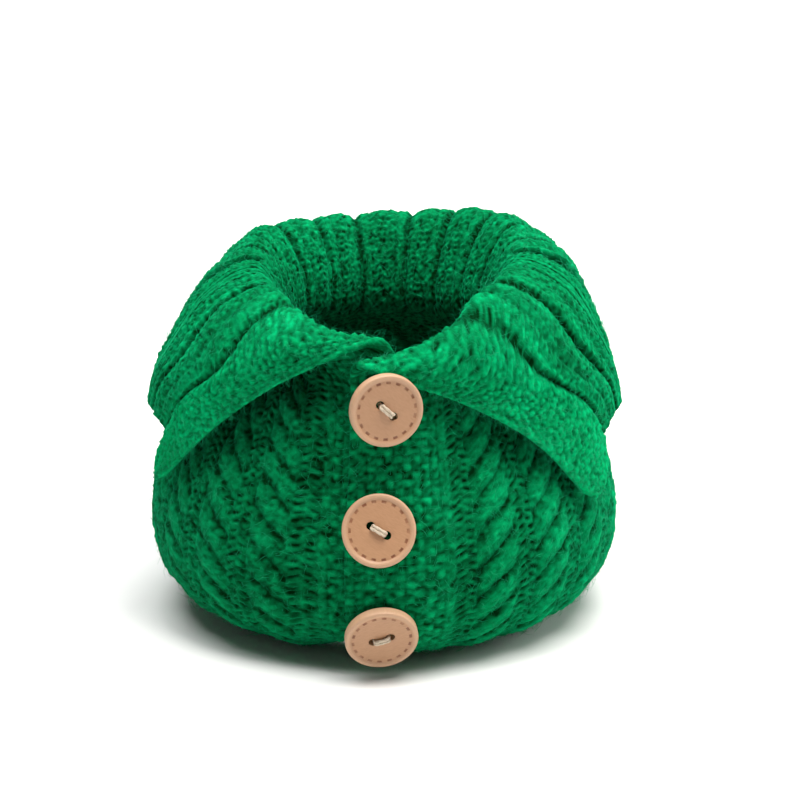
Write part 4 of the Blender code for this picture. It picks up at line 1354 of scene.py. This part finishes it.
points = turned_points()
front = (points[:, 2] > 0.5).astype(float)
blank = mesh_object("blank", points * MM, turned_faces(len(FACE_PROFILE) - 1), beech,
                    points[:, :2] / (BUTTON_D / 2), {"front": front})
disc = drilled(blank)
sharp = bmesh.new()
sharp.from_mesh(disc)
for line in sharp.edges:
    line.smooth = line.is_manifold and line.calc_face_angle(0.0) < math.radians(SHARP_ANGLE)
sharp.to_mesh(disc)
sharp.free()
print("disc of", len(disc.vertices), "points")


# %% Place the three buttons
def button_turn(tilt, turn, fall):
    """Rotation that faces a lathe-turned disc to the front, tilted up and turned right."""
    spin = Matrix.Rotation(math.radians(-fall), 3, "Z")
    lean = Matrix.Rotation(math.radians(90.0 - tilt), 3, "X")
    return np.array(Matrix.Rotation(math.radians(turn), 3, "Z") @ lean @ spin)


def node_centre(name, turn):
    """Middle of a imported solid's box, measured in the button's own directions."""
    points = np.array([v.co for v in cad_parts[name].data.vertices]) @ turn
    return turn @ ((points.min(axis=0) + points.max(axis=0)) / 2)


for name, angles in BUTTONS.items():
    rotation = button_turn(*angles)
    seat = node_centre("button_" + name, rotation)
    mesh = disc.copy()
    mesh.transform(Matrix.Translation(Vector(seat)) @ Matrix(rotation.tolist()).to_4x4())
    button = bpy.data.objects.new("wooden_button_" + name, mesh)
    scene.collection.objects.link(button)
    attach(button, "root")
    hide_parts("button_" + name)
    print(button.name, "at", (seat / MM).round(1))

# %% [markdown]
# The sewing thread comes up through one hole and goes down the other, twice, so two
# strands lie side by side, each of two twisted plies. So it is four thin tubes that
# wind round two bent centrelines. A tube is a circle carried along a path, with two
# directions square to the path at each step. A curve with a round bevel could be one
# such tube, but plies that wind round a bent line are easier to work out as points. The
# strands hug the inner edge of each hole, which leaves the rest of it open and dark.

# %% Cotton
def cotton():
    """Undyed cotton: cream, matt, with fine fibres."""
    made, tree, shader = new_material("cream cotton", (0.62, 0.50, 0.35), 0.8)
    twist = noise(tree, node(tree, "ShaderNodeTexCoord").outputs["Object"],
                  Scale=4200.0, Detail=3.0)
    tone = mixed(tree, ramped(tree, twist, 0.3, 0.7), (0.46, 0.37, 0.27), (0.66, 0.56, 0.43))
    tree.links.new(tone, shader.inputs["Base Color"])
    bumped(tree, shader, twist, 0.4, 0.0001)
    return made


cream = cotton()
print("cotton's tree has", len(cream.node_tree.nodes), "nodes")

# %% Path of the thread
THREAD_LIFT, BEND, HUG = 0.35, 0.95, 0.75
PLY_R, PLY_OFF = 0.5, 0.17
ROUTE_STEPS = 110


def thread_route(steps):
    """Centreline of the thread in its own plane: up, a quarter bend, across, and down.

    The second half mirrors the first, so only the length from the nearer end counts:
    x and z grow with it on the straights, and with its cosine and sine in the bend."""
    top = BUTTON_T / 2 - BUTTON_DISH + THREAD_LIFT + PLY_R + PLY_OFF
    reach = HOLE_PITCH / 2 - HUG
    straight, quarter, flat = top - BEND + BUTTON_T / 2, BEND * math.pi / 2, 2 * (reach - BEND)
    total = 2 * (straight + quarter) + flat
    s = np.linspace(0, 1, steps) * total
    mirrored = np.minimum(s, total - s)
    turn = np.clip((mirrored - straight) / BEND, 0, math.pi / 2)
    x = -reach + BEND * (1 - np.cos(turn)) + np.clip(mirrored - straight - quarter, 0, flat / 2)
    z = -BUTTON_T / 2 + np.minimum(mirrored, straight) + BEND * np.sin(turn)
    return np.where(s > total / 2, -x, x), z, total


route_x, route_z, route_length = thread_route(ROUTE_STEPS)
beside, upright = np.array([0.0, 1.0, 0.0]), np.array([0.0, 0.0, 1.0])
middle_line = route_x[:, None] * np.array([1.0, 0.0, 0.0]) + route_z[:, None] * upright
print("thread", round(route_length, 1), "mm from back to back")


# %% Tubes along a path
def headings(path, beside):
    """Unit directions along a path, and above it: square to both the path and beside."""
    ahead = unit(np.gradient(path, axis=0))
    return ahead, unit(np.cross(beside, ahead))


def tube(path, beside, radius, sides):
    """Circle carried along a path and closed at both ends.

    Each ring is the path's point, plus the radius times the cosine of the turn above
    it and the sine of the turn beside it."""
    ahead, above = headings(path, beside)
    third = np.cross(ahead, above)
    turn = (np.arange(sides) * math.tau / sides)[None, :, None]
    rings = path[:, None] + radius * (np.cos(turn) * above[:, None] + np.sin(turn) * third[:, None])
    ids = np.arange(len(path) * sides).reshape(-1, sides)
    ids = np.concatenate([ids, ids[:, :1]], axis=1)
    ends = np.stack([ids[0, :-1][::-1], ids[-1, :-1]])
    return rings.reshape(-1, 3), squares(ids), ends


print("the thread starts towards", headings(middle_line, beside)[0][0].round(2))

# %% Cotton thread
SIDES, PLY_TURNS, STRAND_APART, PINCHED = 10, 2.5, 0.62, 0.62
# The strands are pinched together low in the holes and lie apart on the button's face.
apart = STRAND_APART * (PINCHED + (1.0 - PINCHED) * smooth_step(1.0, 2.2, route_z))
plies = []
for strand in (-1.0, 1.0):
    line = middle_line + (strand * apart)[:, None] * beside
    _, above = headings(line, beside)
    for half_turn in (0.0, 0.5):
        turns = half_turn + strand * 0.1 + PLY_TURNS * np.linspace(0, 1, len(line))
        wind = math.tau * turns[:, None]
        offset = PLY_OFF * (np.cos(wind) * above + np.sin(wind) * beside)
        plies.append(tube(line + offset, beside, PLY_R, SIDES))
points, walls, ends = zip(*plies)
starts = np.arange(len(plies)) * len(points[0])
thread_points = np.concatenate(points)
thread_faces = [np.concatenate([f + start for f, start in zip(faces, starts)])
                for faces in (walls, ends)]
for name, angles in BUTTONS.items():
    rotation = button_turn(*angles)
    placed = (thread_points * MM) @ rotation.T + node_centre("button_" + name, rotation)
    thread = mesh_object("cotton_thread_" + name, placed, thread_faces, cream)
    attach(thread, "root")
    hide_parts("thread_" + name)
    print(thread.name, "in", len(plies), "plies")
